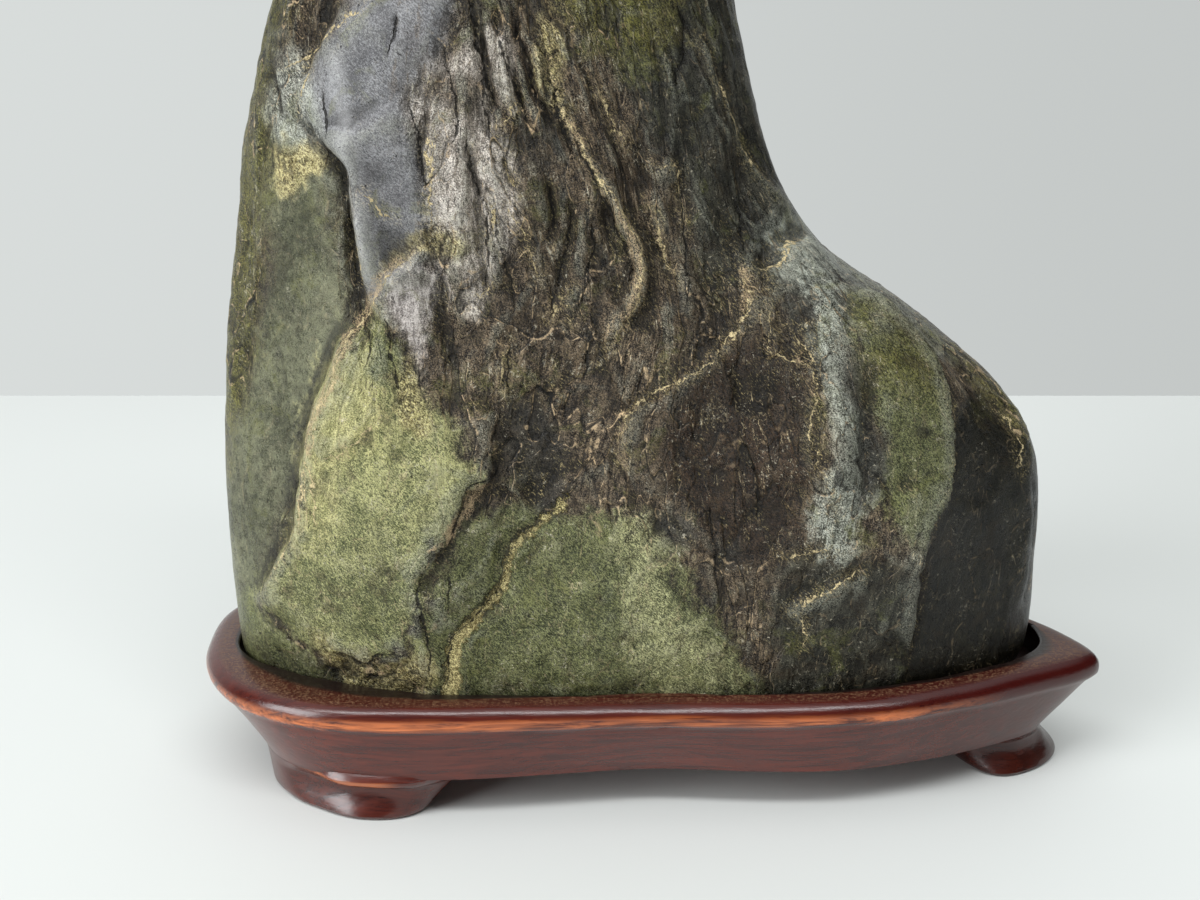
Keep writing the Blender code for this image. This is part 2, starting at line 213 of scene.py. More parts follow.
tableTop = bmesh.new()
bmesh.ops.create_grid(tableTop, x_segments=1, y_segments=1, size=1.0)
for corner in tableTop.verts:
    corner.co.x = (table["left"] if corner.co.x < 0 else table["right"]) * mm
    corner.co.y = (table["near"] if corner.co.y < 0 else table["far"]) * mm
tableObject = addObject("table", toMesh(tableTop, "table"))
tableFinish, tableShader, tablePlace = newMaterial("paleTable")
feed(tableShader, {"Base Color": tint(*table["tone"]), "Roughness": table["roughness"]})
tableObject.data.materials.append(tableFinish)


print("stage: stone")

seatHeight = 20.3
frontSide = -1
backSide = 1
stone = {
    "columns": 420,
    "rows": 226,
    "frontCrowding": 0.5,  # how far the columns gather on the front, 0 for even
    "sideShare": 0.7,  # how much a row's sideways run counts against its climb
    "underShare": 0.12,  # few rows under the stone, where nothing shows
    "squareness": 2.45,
    "middle": (0.8, -0.3),
    # height, left edge, right edge, front, back; the relief is raised from this plain body
    "levels": [
        (seatHeight, -3.0, -3.0, 0.0, 0.0), (seatHeight, -78.0, 70.5, -24.5, 25.5),
        (seatHeight + 2.0, -82.5, 75.0, -28.0, 29.5), (28.0, -84.4, 76.8, -29.5, 31.0),
        (42.0, -85.2, 77.0, -30.5, 32.0), (56.0, -85.2, 76.6, -30.5, 32.5),
        (68.0, -84.8, 74.6, -30.0, 32.0), (80.0, -83.8, 67.4, -29.0, 31.0),
        (90.0, -82.8, 56.0, -28.0, 29.5), (98.0, -81.7, 45.0, -27.0, 28.0),
        (106.0, -80.8, 33.0, -26.0, 27.0), (115.0, -79.5, 25.5, -25.5, 26.0),
        (130.0, -76.4, 19.1, -25.0, 25.0), (150.0, -70.8, 14.0, -24.0, 24.5),
        (168.0, -64.0, 12.5, -22.0, 23.0), (183.0, -56.5, 8.5, -19.0, 20.5),
        (196.0, -52.0, 2.5, -16.0, 17.5), (207.0, -45.5, -6.0, -12.0, 13.5),
        (215.0, -38.5, -14.0, -8.0, 9.5), (220.0, -32.0, -20.0, -4.5, 5.5),
        (222.0, -26.0, -26.0, 0.0, 0.0),
    ],
    # The bedding runs up the stone along these lines: height, then x of each line.
    "bedding": [
        (20, -84, -79, -41, -14, 12, 27, 50, 77),
        (45, -85, -73, -41, -14, 12, 28, 50, 77),
        (70, -85, -65, -38, -13, 8, 31, 53, 74),
        (95, -82, -56, -38, -6, 8, 24, 40, 50),
        (120, -78, -54, -40, -10, 3, 16, 22, 25),
        (150, -71, -60, -33, -20, -4, 6, 11, 14),
        (185, -56, -48, -38, -28, -18, -8, 1, 8),
        (222, -50, -43, -36, -28, -20, -12, -5, 2),
    ],
    "beddingSpacing": 22.0,
    # Swellings and hollows: centre, radii, tilt in degrees, height.
    "lumps": {
        frontSide: [
            ((-46, 58), (17, 33), 8, 5.2),  # lower left bulge
            ((-48, 92), (7, 14), -32, 2.2),  # its shoulder
            ((-46, 134), (11, 26), -8, 3.4),  # upper left lobe
            ((-22, 128), (9, 26), -14, 1.6),  # fluted face
            ((-19, 68), (10, 22), -10, -3.2),  # hollow beside the bulge
            ((-5, 42), (20, 20), 0, 1.8),  # low front face
            ((10, 76), (12, 24), -20, -1.8),  # hollow under the neck
            ((34, 70), (13, 26), 6, 4.2),  # right lobe
            ((62, 52), (10, 34), 4, -1.8),  # right flank set back
            ((-72, 92), (12, 34), 6, -2.4),  # left flank set back
            ((16, 118), (5, 18), -8, -2.2),  # valley down the neck
            ((-30, 186), (12, 20), 14, 2.6), ((-4, 176), (8, 16), -6, -2.0),  # below the peak
            ((-53, 140), (4, 14), -12, 1.2), ((-49, 112), (2.6, 13), 8, 1.5),  # crest of the lobe
            ((-44, 96), (6, 10), -20, 0.5),  # cap of the bulge
            ((32, 82), (3.2, 24), 3, 1.1), ((38, 72), (2.6, 14), 4, -0.8),  # grey rib
            ((12, 128), (2.4, 18), 12, 0.9),  # rib down the neck
            ((-66, 132), (4, 12), 6, 1.0), ((-56, 149), (5, 4), 20, -1.2),
        ],
        backSide: [
            ((-40, 64), (24, 34), -10, 4.4), ((-6, 52), (9, 34), 10, -3.8),
            ((32, 56), (20, 28), 12, 3.6), ((60, 44), (9, 28), 8, -2.0),
            ((-58, 124), (9, 30), 10, 3.0), ((-22, 132), (8, 36), 12, -3.4),
            ((-6, 124), (8, 24), 4, 2.0), ((-34, 190), (10, 18), 16, -2.0),
        ],
    },
    # Ledges: height, how far the raised side reaches back, softness of the step, then the
    # points. The raised side is on the left, going along the points.
    "ledges": {
        frontSide: [
            (4.2, 15, 1.7, (-52, 99), (-57, 88), (-63, 74), (-66, 58), (-71, 48), (-78, 38)),
            (1.7, 12, 1.3, (-50, 154), (-61, 139), (-60, 131), (-56, 126), (-54, 122)),
            (3.0, 12, 0.9, (-57, 130), (-55, 126), (-53, 121), (-52.4, 112), (-51.4, 101)),
            (2.3, 7, 0.6, (-42, 49), (-38, 56), (-34.5, 63), (-33, 67), (-29.5, 68.5), (-29, 76),
             (-28, 83)),
            (1.8, 8, 0.9, (-38, 112), (-44, 107), (-51, 99)),
            (1.3, 9, 1.0, (-11, 89), (-3, 101), (-3, 110), (-9, 120), (-17, 132), (-20, 148)),
            (1.4, 10, 0.8, (15, 111), (17, 100), (10, 91), (4, 86), (-4, 81), (-6, 72)),
            (-2.0, 9, 0.9, (18, 106), (23, 106), (25, 109), (36, 109)),
            (3.8, 13, 0.6, (50, 30), (49, 54), (54, 64), (55, 75), (50, 88), (40, 98), (33, 102)),
            (1.6, 5, 1.0, (30, 112), (20, 122), (12, 136), (8, 148)),
            (0.9, 7, 0.7, (6, 96), (6, 111), (4, 123), (-2, 126)),
            (1.5, 6, 0.45, (39, 52), (34, 49.5), (30, 46.5), (24, 43)),
            (0.8, 6, 0.7, (28, 66), (27, 76), (27, 88), (21, 91), (21, 103)),
            (1.0, 9, 0.8, (-38, 27), (-36, 38), (-27, 50), (-18, 62)),
            (1.2, 6, 0.7, (-62, 35), (-54, 32), (-43, 35)),
            (0.8, 6, 0.7, (-41, 27), (-42, 44), (-41, 56)),
            (0.8, 6, 0.9, (-60, 71), (-53, 75), (-47, 83)),
            (1.0, 7, 0.8, (-39, 112), (-39, 124), (-41, 134)),
        ],
        backSide: [
            (2.8, 13, 1.2, (-64, 38), (-58, 70), (-46, 92), (-30, 104)),
            (2.6, 12, 1.2, (-8, 30), (-2, 58), (12, 80), (18, 100)),
            (2.4, 10, 1.2, (-44, 112), (-36, 138), (-40, 166), (-34, 196)),
            (2.2, 10, 1.2, (60, 84), (50, 70), (52, 48), (46, 30)),
        ],
    },
    # Grooves and ridges: width, height (a groove is negative), then the points.
    "flutes": {
        frontSide: [
            (1.5, 1.7, (-53.6, 131), (-51.6, 124), (-50.3, 117), (-49.6, 110), (-48.2, 103)),
            (3.8, -0.5, (-46.2, 126), (-45.4, 118), (-44, 106)),
            (1.3, -1.0, (-58, 128), (-54.6, 124), (-53.2, 117), (-52.6, 109), (-51.5, 101)),
            (1.9, 0.9, (-38.4, 150), (-38, 138), (-37.6, 122), (-36, 108)),
            (1.9, 1.1, (-33.4, 146), (-33.2, 134), (-33.6, 122), (-34, 110), (-35, 100)),
            (1.3, 1.3, (-29.6, 127), (-28, 120), (-27.4, 112), (-28.6, 102)),
            (1.3, 1.1, (-27.2, 148), (-25.6, 140), (-24.8, 133)),
            (0.8, -1.5, (-32, 154), (-30.6, 146), (-29.2, 140), (-28.6, 133), (-29, 128)),
            (0.8, -1.3, (-31.6, 131), (-31.8, 124), (-31, 118), (-30.4, 111), (-29.8, 99)),
            (0.8, -1.1, (-27.6, 152), (-25.8, 144), (-23.8, 138), (-22.6, 132)),
            (1.0, -1.7, (-23.4, 146), (-20.6, 137), (-17.4, 131), (-14.8, 126)),
            (0.8, -0.9, (-26.6, 126), (-24.4, 120)),
            (0.9, -0.9, (-18.4, 124), (-17.6, 114), (-19.8, 110)),
            (0.9, -0.8, (-15, 119), (-15.4, 110), (-17, 101)),
            (1.1, 0.7, (-13.6, 117), (-12.6, 110), (-13.6, 104)),
            (1.5, -1.9, (-10, 119), (-7.6, 113), (-5.6, 108), (-5.2, 104), (-6.4, 99)),
            (1.2, 1.5, (-17, 133), (-13, 127), (-8, 119.5), (-5.2, 114), (-3.1, 109), (-2.6, 104),
             (-4.4, 99.5), (-9, 96)),
            (2.4, -0.8, (-8, 140), (-4, 128), (-1, 116), (0, 104)),
            (2.2, -1.0, (-17, 63), (-25, 57), (-31, 46), (-38, 37), (-38, 26)),
            (2.4, -0.9, (4, 138), (6, 124), (3, 110), (4, 98)),
            (2.2, 0.8, (30, 102), (31, 92), (32, 80), (33, 64)),
            (1.2, -0.8, (37, 90), (37.4, 82), (36, 76), (37.4, 68)),
            (2.2, 1.2, (70, 76), (73, 58), (74, 34)), (3.0, -1.4, (-30, 168), (-26, 184), (-22, 204)),
        ],
        backSide: [
            (2.8, -1.8, (-30, 30), (-26, 56), (-14, 84), (-12, 112)),
            (2.8, -1.6, (30, 30), (26, 52), (34, 72), (32, 92)),
            (2.6, -1.5, (-60, 88), (-64, 112), (-58, 140)),
            (2.8, -1.4, (-12, 150), (-14, 172), (-20, 200)),
        ],
    },
    # Half width, then the points.
    "lines": {
        # fine open cracks, cut into the skin and left dark
        "crack": {
            frontSide: [
                (0.35, (-60, 128), (-56, 126), (-52, 123), (-52, 111), (-51, 104)),
                (0.35, (-56, 137), (-56, 132), (-56, 128)), (0.35, (-44, 150), (-44, 146), (-45, 142)),
                (0.5, (-32, 153), (-30.9, 147), (-29.6, 141), (-28.5, 137), (-26.6, 132.5)),
                (0.4, (-30, 143), (-29.6, 138), (-29, 132), (-28.8, 128)),
                (0.4, (-28.3, 151), (-26.4, 144), (-24.8, 138.5), (-22.5, 133), (-19.6, 128)),
                (0.4, (-24.8, 151), (-22.6, 142.5), (-21.4, 138), (-20, 135)),
                (0.6, (-17.8, 138), (-17, 133.5), (-15.4, 128), (-14.6, 125)),
                (0.5, (-32.8, 130), (-32.4, 126), (-31.4, 121), (-30.8, 118)),
                (0.35, (-29.2, 118), (-29.6, 112), (-29.6, 102)),
                (0.35, (-18.4, 122), (-18, 114), (-20.6, 110)),
                (0.5, (-42, 135), (-40.6, 130), (-40, 124), (-39.6, 120)),
                (0.35, (-36, 142), (-34, 132), (-35, 127)),
                (0.35, (-27, 119), (-28, 113), (-25, 102), (-26, 96)),
                (0.35, (-16, 119), (-15, 113), (-18, 101), (-19, 95)),
                (0.35, (-12, 116), (-11, 110), (-14, 97)),
                (0.35, (-16, 132), (-10, 120), (-5, 109), (-4, 105), (-5, 101)),
                (0.35, (16, 119), (17, 113), (17, 107)), (0.35, (14, 141), (18, 129), (21, 124)),
                (0.35, (-47, 99), (-45, 88), (-44, 84)), (0.35, (-50, 96), (-49, 92), (-50, 89)),
                (0.35, (-27, 84), (-29, 75), (-29, 69), (-33, 68), (-35, 62), (-38, 54)),
                (0.35, (-41, 55), (-42, 48), (-41, 35), (-42, 26)), (0.35, (-37, 52), (-37, 43)),
                (0.35, (-27, 51), (-32, 43), (-37, 38), (-39, 26)),
                (0.35, (-61, 34), (-57, 33), (-53, 32), (-50, 35), (-43, 35)),
                (0.35, (53, 83), (56, 74), (55, 66), (50, 57), (49, 47), (50, 33), (47, 29)),
                (0.35, (-26, 93), (-26, 83)), (0.35, (4, 152), (5, 145), (3, 136)),
                (0.35, (4, 123), (5, 116), (6, 102), (5, 97)), (0.35, (15, 79), (19, 66), (18, 59)),
                (0.35, (10, 64), (11, 56), (12, 46)), (0.35, (73, 66), (75, 50), (75, 34)),
            ],
            backSide: [
                (0.35, (-50, 140), (-46, 116), (-50, 92)), (0.35, (-8, 120), (-4, 96), (-10, 74)),
                (0.35, (34, 88), (38, 66), (34, 44)), (0.35, (-30, 92), (-34, 66), (-28, 42)),
                (0.35, (8, 60), (12, 44), (10, 28)),
            ],
        },
        # thin pale veins
        "vein": {
            frontSide: [
                (0.45, (-48, 152), (-50, 149), (-57, 145), (-60, 142), (-66, 140)),
                (0.4, (-59, 142), (-60, 138), (-62, 135)), (0.4, (-37, 129), (-39, 121), (-39, 113)),
                (0.35, (-49, 120), (-47, 117), (-45, 115)), (0.4, (-52, 116), (-51, 108), (-51, 103)),
                (0.55, (-39, 111), (-43, 109), (-47, 103), (-53, 95), (-57, 84), (-62, 77), (-64, 60),
                 (-75, 40)),
                (0.35, (-57, 82), (-61, 72), (-60, 56)), (0.4, (-59, 72), (-54, 74), (-47, 82)),
                (0.45, (-19, 146), (-17, 136), (-13, 127), (-8, 119), (-3, 110), (-3, 101), (-10, 90)),
                (0.3, (-11, 138.5), (-9.4, 135.5), (-7.4, 131.5), (-6, 129), (-4.2, 127)),
                (0.35, (0, 124), (4, 123), (5, 116), (6, 113)), (0.35, (0, 116), (1, 111), (4, 104)),
                (0.28, (14, 110), (16, 106), (17, 100), (12, 92), (8, 88), (3, 86), (-4, 81), (-6, 74),
                 (-5, 71)),
                (0.28, (21, 103), (20, 94), (21, 91), (27, 88), (28, 84), (27, 76), (31, 66)),
                (0.3, (24, 95), (27, 91), (28, 87)), (0.5, (19, 106), (23, 106), (25, 109), (29, 109)),
                (0.3, (8, 145), (12, 136), (18, 125), (24, 117)),
                (0.6, (25, 44), (30, 47), (34, 50), (38, 52)), (0.35, (25, 44), (28, 40), (28, 35)),
                (0.3, (24, 54), (27, 55), (32, 56)), (0.25, (-24, 137), (-25, 133), (-27, 130)),
                (0.7, (-28.7, 118), (-28.3, 116), (-28.6, 113)),
                (0.6, (-38, 130), (-39, 127), (-38.8, 124)),
                (0.25, (-26.6, 126), (-25.6, 123), (-24.2, 120)),
                (0.3, (-26, 118), (-24, 114.5), (-23, 112.5), (-23.6, 110)),
                (0.35, (-23, 110.5), (-21, 108), (-20.4, 105)),
                (0.3, (-32, 100.5), (-29.4, 102.8), (-27.4, 104)),
                (0.35, (-19, 97.5), (-17, 100), (-15.2, 103)), (0.3, (-18, 101), (-16.6, 99), (-15, 96.5)),
                (0.35, (-26, 93), (-27, 89), (-27, 84)), (0.35, (67, 78), (70, 72), (71, 65)),
                (0.4, (53, 84), (55.4, 78), (55.2, 70), (53, 62), (50.6, 55)),
            ],
            backSide: [
                (0.5, (-62, 40), (-57, 70), (-45, 93), (-28, 105)), (0.45, (-6, 30), (0, 58), (13, 80)),
                (0.4, (20, 70), (36, 58), (44, 62)),
            ],
        },
        # crests rubbed pale, partly painted sheen, wider and softer than the veins
        "rubbedAndSheen": {
            frontSide: [
                (0.8, (-9, 121), (-6, 115), (-3.4, 109), (-2.6, 104), (-4.4, 99.5), (-8, 96.5), (-10, 91)),
                (0.9, (-38, 112), (-44, 108.5), (-49, 102), (-53, 95), (-57, 85), (-61, 77), (-63, 66)),
                (0.45, (-16, 134), (-13, 127), (-9, 121)), (0.45, (16, 107), (17, 102), (15, 98)),
                # a painted reflection down the right edge of the dark flank
                (0.7, (76, 70), (77, 52), (77, 30)),
                (1.1, (-28.8, 67.6), (-32, 67), (-33.6, 63), (-36, 60), (-38, 56)),
            ],
        },
    },
    "lobeRib": [(-53.6, 141), (-52.4, 132), (-51, 124), (-50.2, 117), (-49.6, 110), (-48.6, 103)],
    "yellowVein": [(-16, 64), (-19, 61), (-25, 56), (-28, 48), (-35, 39), (-37, 34), (-38, 24)],
    # Where each colour lies: outlines in x and height, as seen from the front.
    "regions": {
        "flank": [[(-92, 10), (-86, 60), (-76, 100), (-70, 130), (-58, 126), (-54, 100), (-62, 76),
            (-72, 46), (-78, 14)]],
        "lobe": [[(-46, 160), (-52, 150), (-61, 139), (-61, 132), (-57, 127), (-53, 121),
            (-52, 110), (-50, 101), (-47, 101), (-40, 109), (-39, 126), (-40, 134), (-35, 146),
            (-34, 160)]],
        "paleFoldsAndSheen": [[(-44, 160), (-40, 150), (-37, 143), (-32, 146), (-29.5, 140), (-28.5, 131),
            (-26, 122), (-25, 115), (-27.5, 107), (-30, 98), (-34, 104), (-38, 110), (-39, 120),
            (-39.5, 128), (-42, 134), (-44, 145)], [(-29, 148), (-26, 145), (-24, 138), (-24, 132),
            (-27, 136), (-29, 143)]],
        "brownPatch": [[(-38.5, 156), (-33, 156), (-31.5, 148), (-34.5, 142), (-37, 146)],
            [(-38, 139.5), (-30, 139), (-30, 133), (-33, 132), (-37, 134)], [(-37, 103), (-34, 106),
            (-33, 98), (-36, 97)]],
        "shoulderSheen": [[(21, 113), (30, 112), (44, 103), (58, 92), (54, 88), (40, 97), (26, 103)]],
        "greyFaceAndSheen": [[(28, 102), (31, 105), (34, 98), (35, 90), (34.5, 84), (38, 80), (37.5, 72),
            (37, 62), (33, 54), (30, 62), (31, 74), (29, 86), (28, 94)]],
        "ochre": [[(-69, 127), (-64, 126), (-58, 125), (-62, 121.5), (-66, 119), (-69, 121)],
            [(-45, 89), (-42, 90), (-40, 82), (-42, 78), (-45, 82)], [(-62, 37), (-56, 34), (-50, 35),
            (-43, 34), (-42, 28), (-46, 20), (-57, 20)], [(-47, 107), (-42, 111), (-36, 113),
            (-34, 108), (-40, 109)], [(-20.5, 148), (-18, 147), (-17.4, 135), (-18.6, 133),
            (-20.2, 139)]],
        "whiteSpeck": [[(-68, 142), (-61, 141), (-58, 134), (-59, 128), (-63, 126), (-69, 128),
            (-69, 136)]],
        "olive": [[(-90, 64), (-86, 60), (-80, 80), (-75, 100), (-71, 120), (-66, 140), (-62, 158),
            (-74, 158), (-92, 110)], [(-16, 158), (-17, 150), (-10, 146), (-2, 142), (3, 146),
            (5, 158)], [(46, 98), (60, 86), (72, 72), (78, 74), (60, 96), (48, 104)], [(35, 98),
            (43, 96), (50, 88), (53, 79), (46, 82), (39, 86)]],
        "bulge": [[(-48, 104), (-44, 97), (-41, 88), (-38, 81), (-35, 74), (-32, 70), (-36, 61),
            (-40, 52), (-43, 40), (-48, 34), (-58, 34), (-72, 34), (-74, 44), (-66, 58), (-63, 76),
            (-56, 90)]],
        "bulgePale": [[(-60, 84), (-53, 92), (-48, 88), (-47, 80), (-54, 70), (-60, 56), (-67, 54),
            (-65, 72)]],
        "green": [[(-43, 22), (-42, 44), (-38, 56), (-28, 66), (-20, 62), (-8, 62), (2, 55),
            (12, 44), (18, 34), (22, 18), (-40, 16)], [(36, 100), (46, 94), (54, 82), (56, 70),
            (54, 62), (50, 56), (44, 60), (38, 68), (37, 84), (34, 94)], [(-80, 18), (-78, 38),
            (-64, 30), (-56, 22), (-60, 16)]],
        "slate": [[(-26, 82), (-18, 80), (-14, 74), (-18, 64), (-22, 60), (-26, 68)], [(1, 61),
            (6, 61), (7, 57), (3, 56)], [(12, 57), (17, 56), (16, 52), (12, 53)], [(34, 90), (37, 88),
            (38, 82), (36, 80), (34, 84)], [(36, 78), (39, 76), (39, 68), (36, 66), (35, 72)]],
        "maroon": [[(2, 84), (12, 90), (20, 96), (27, 86), (28, 72), (27, 58), (20, 52), (11, 56),
            (4, 66)]],
        "neck": [[(-8, 160), (-8, 148), (-6, 138), (-1, 128), (4, 120), (7, 112), (14, 104),
            (20, 104), (22, 90), (32, 102), (50, 108), (24, 160)], [(24, 56), (36, 54), (48, 52),
            (51, 30), (48, 16), (24, 16), (22, 36)], [(-26, 222), (-10, 200), (0, 180), (4, 158),
            (20, 158), (20, 200)]],
        "darkShadedFlank": [[(51, 16), (51, 44), (51, 58), (55, 66), (57, 78), (62, 82), (70, 72),
            (80, 60), (84, 16)]],
        "crumbly": [[(22, 60), (38, 62), (50, 52), (50, 34), (40, 26), (26, 30)], [(4, 84),
            (14, 92), (24, 88), (26, 70), (14, 66)]],
        "lowPale": [[(-5, 60), (2, 60), (3, 50), (9, 40), (16, 32), (14, 24), (4, 24), (-3, 36),
            (-6, 48)]],
        "cap": [[(-48, 100), (-44, 107), (-38, 105), (-37.5, 96), (-40, 88), (-44, 92)]],
    },
    # The back is marked differently.
    "backRegions": {
        "green": [[(-72, 14), (-76, 40), (-62, 58), (-48, 50), (-40, 30), (-36, 14)], [(26, 14),
            (32, 40), (46, 48), (58, 30), (56, 14)]],
        "maroon": [[(-14, 26), (-6, 58), (10, 74), (24, 62), (20, 36), (6, 22)]],
        "neck": [[(-62, 148), (-44, 200), (-12, 196), (0, 150), (-22, 118), (-48, 124)]],
        "olive": [[(6, 104), (26, 100), (52, 86), (66, 68), (48, 66), (22, 80)]],
        "greyFaceAndSheen": [[(-40, 100), (-30, 112), (-16, 100), (-20, 70), (-32, 60), (-42, 74)]],
        "ochre": [[(-58, 96), (-50, 102), (-46, 92), (-54, 86)], [(30, 24), (38, 30), (46, 26),
            (40, 18)]],
        "slate": [[(-2, 84), (8, 96), (16, 84), (6, 74)]],
    },
    "bothSides": ("flank", "darkShadedFlank"),  # regions that run round from the front to the back
    "fadeBehind": 28.0,  # how far a region's edge draws in on the side where it doesn't belong
    "fieldReach": 14.0,  # distances from a region's edge are kept up to here
    "lineReach": 9.0,  # and those from a line up to here
    # Where the skin is worn smooth: how smooth, where that starts outside the region, over how far.
    "calm": {
        "lobe": (1.0, 1, 4), "cap": (1.0, 1, 4), "darkShadedFlank": (0.8, 1, 3), "flank": (0.85, 2, 5),
        "paleFoldsAndSheen": (0.25, 1, 3), "neck": (0.45, 1, 4),
    },
    "crackDepth": 0.4,
    "veinDepth": 0.35,
}


def smoothStep(value):
    share = np.clip(value, 0.0, 1.0)
    return share * share * (3 - 2 * share)


def splinePoints(corners, steps):
    # the middle stretch of each four corners, as a Catmull-Rom curve
    found = []
    for before, start, end, after in zip(corners, corners[1:], corners[2:], corners[3:]):
        for share in np.arange(steps) / steps:
            found.append(
                0.5 * (2 * start + (end - before) * share
                       + (2 * before - 5 * start + 4 * end - after) * share**2
                       + (3 * start - before - 3 * end + after) * share**3)
            )
    return found


def openCurve(points, steps=5):
    corners = np.array([points[0], *points, points[-1]], float)
    return np.array(splinePoints(corners, steps) + [corners[-1]])


def closedCurve(points, count, steps=24):
    corners = np.array([points[-1], *points, points[0], points[1]], float)
    dense = np.array(splinePoints(corners, steps))
    dense = np.vstack([dense, dense[:1]])
    run = np.concatenate([[0.0], np.cumsum(np.linalg.norm(np.diff(dense, axis=0), axis=1))])
    wanted = np.arange(count) / count * run[-1]
    return np.stack([np.interp(wanted, run, dense[:, axis]) for axis in range(2)], axis=1)


def steadyCurve(wanted, xs, ys):
    # cubic interpolation that never swings past its own points
    step = np.diff(xs)
    slope = np.diff(ys) / step
    tangent = np.concatenate([[slope[0]], (slope[1:] + slope[:-1]) / 2, [slope[-1]]])
    tangent[1:-1][slope[1:] * slope[:-1] <= 0] = 0.0
    steepest = 3 * np.minimum(np.abs(np.append(slope, slope[-1])), np.abs(np.insert(slope, 0, slope[0])))
    tangent = np.clip(tangent, -steepest, steepest)
    i = np.clip(np.searchsorted(xs, wanted, side="right") - 1, 0, len(step) - 1)
    t = (wanted - xs[i]) / step[i]
    return (
        ys[i] * (1 + 2 * t) * (1 - t) ** 2 + tangent[i] * step[i] * t * (1 - t) ** 2
        + ys[i + 1] * t**2 * (3 - 2 * t) + tangent[i + 1] * step[i] * t**2 * (t - 1)
    )


def noiseField(points, size, seed):
    # smooth noise from -1 to 1 at each point; size is the width of its features, or one for each axis
    places = (points / np.array(size) + seed * 7.31).tolist()
    return np.array([noise.noise(place) for place in places])


def bodyPoints(angle, climb):
    levels = np.array(stone["levels"])
    middle = (levels[:, 1] + levels[:, 2]) / 2
    half = (levels[:, 2] - levels[:, 1]) / 2
    sideways = np.diff(half) * stone["sideShare"]
    sideways[0] *= stone["underShare"]
    run = np.concatenate([[0.0], np.cumsum(np.hypot(np.diff(levels[:, 0]), sideways))])
    wanted = climb * run[-1]
    columns = (levels[:, 0], middle, half, levels[:, 3], levels[:, 4])
    z, centre, reach, front, back = (steadyCurve(wanted, run, column) for column in columns)
    cos, sin = np.cos(angle), np.sin(angle)
    power = stone["squareness"]
    rim = (np.abs(cos) ** power + np.abs(sin) ** power) ** (-1 / power)
    depth = np.where(sin < 0, -front, back)
    x = centre + reach * cos * rim + stone["middle"][0]
    y = depth * sin * rim + stone["middle"][1]
    return np.stack([x, y, z], axis=1)


def measureFrom(points, x, z, margin=16.0):
    # distance to the curve, the same signed by side, and the share along it, at each place
    curve = openCurve(points)
    away = np.full(x.shape, 1e3)
    signed = np.full(x.shape, -1e3)
    share = np.zeros(x.shape)
    low, high = curve.min(axis=0) - margin, curve.max(axis=0) + margin
    close = (x > low[0]) & (x < high[0]) & (z > low[1]) & (z < high[1])
    nearX, nearZ = x[close], z[close]
    best, bestSigned, bestShare = away[close], signed[close], share[close]
    spans = np.diff(curve, axis=0)
    lengths = np.linalg.norm(spans, axis=1)
    before, total = 0.0, lengths.sum()
    for (startX, startZ), (dx, dz), length in zip(curve, spans, lengths):
        t = np.clip(((nearX - startX) * dx + (nearZ - startZ) * dz) / length**2, 0.0, 1.0)
        offX, offZ = nearX - startX - t * dx, nearZ - startZ - t * dz
        distance = np.hypot(offX, offZ)
        closer = distance < best
        best = np.where(closer, distance, best)
        bestSigned = np.where(closer, np.sign(dx * offZ - dz * offX) * distance, bestSigned)
        bestShare = np.where(closer, (before + t * length) / total, bestShare)
        before += length
    away[close], signed[close], share[close] = best, bestSigned, bestShare
    return away, signed, share


def fadedEnds(share, width):
    return smoothStep(np.minimum(share, 1 - share) / width)


def insideOutlines(outlines, x, z):
    # distance in from the outlines, negative outside
    return np.max([insideOutline(outline, x, z) for outline in outlines], axis=0)


def insideOutline(points, x, z):
    outline = closedCurve(points, 12 * len(points), 12)
    nearest = np.full(x.shape, 1e3)
    crossings = np.zeros(x.shape, int)
    for (startX, startZ), (endX, endZ) in zip(outline, np.roll(outline, -1, axis=0)):
        dx, dz = endX - startX, endZ - startZ
        t = np.clip(((x - startX) * dx + (z - startZ) * dz) / (dx * dx + dz * dz), 0.0, 1.0)
        nearest = np.minimum(nearest, np.hypot(x - startX - t * dx, z - startZ - t * dz))
        spans = (startZ > z) != (endZ > z)
        if dz:
            crossings += spans & (x < startX + (z - startZ) * dx / dz)
    return np.where(crossings % 2 == 1, nearest, -nearest)


def beddingCoordinate(x, z):
    # millimetres across the bedding, counted along its lines
    rows = np.array(stone["bedding"], float)
    lines = [np.interp(z, rows[:, 0], rows[:, k]) for k in range(1, rows.shape[1])]
    across = (x - lines[0]) / (lines[1] - lines[0])
    for k in range(1, len(lines)):
        share = (x - lines[k - 1]) / (lines[k] - lines[k - 1])
        across = np.where(x > lines[k - 1], k - 1 + share, across)
    return np.clip(across, -1.0, len(lines)) * stone["beddingSpacing"]


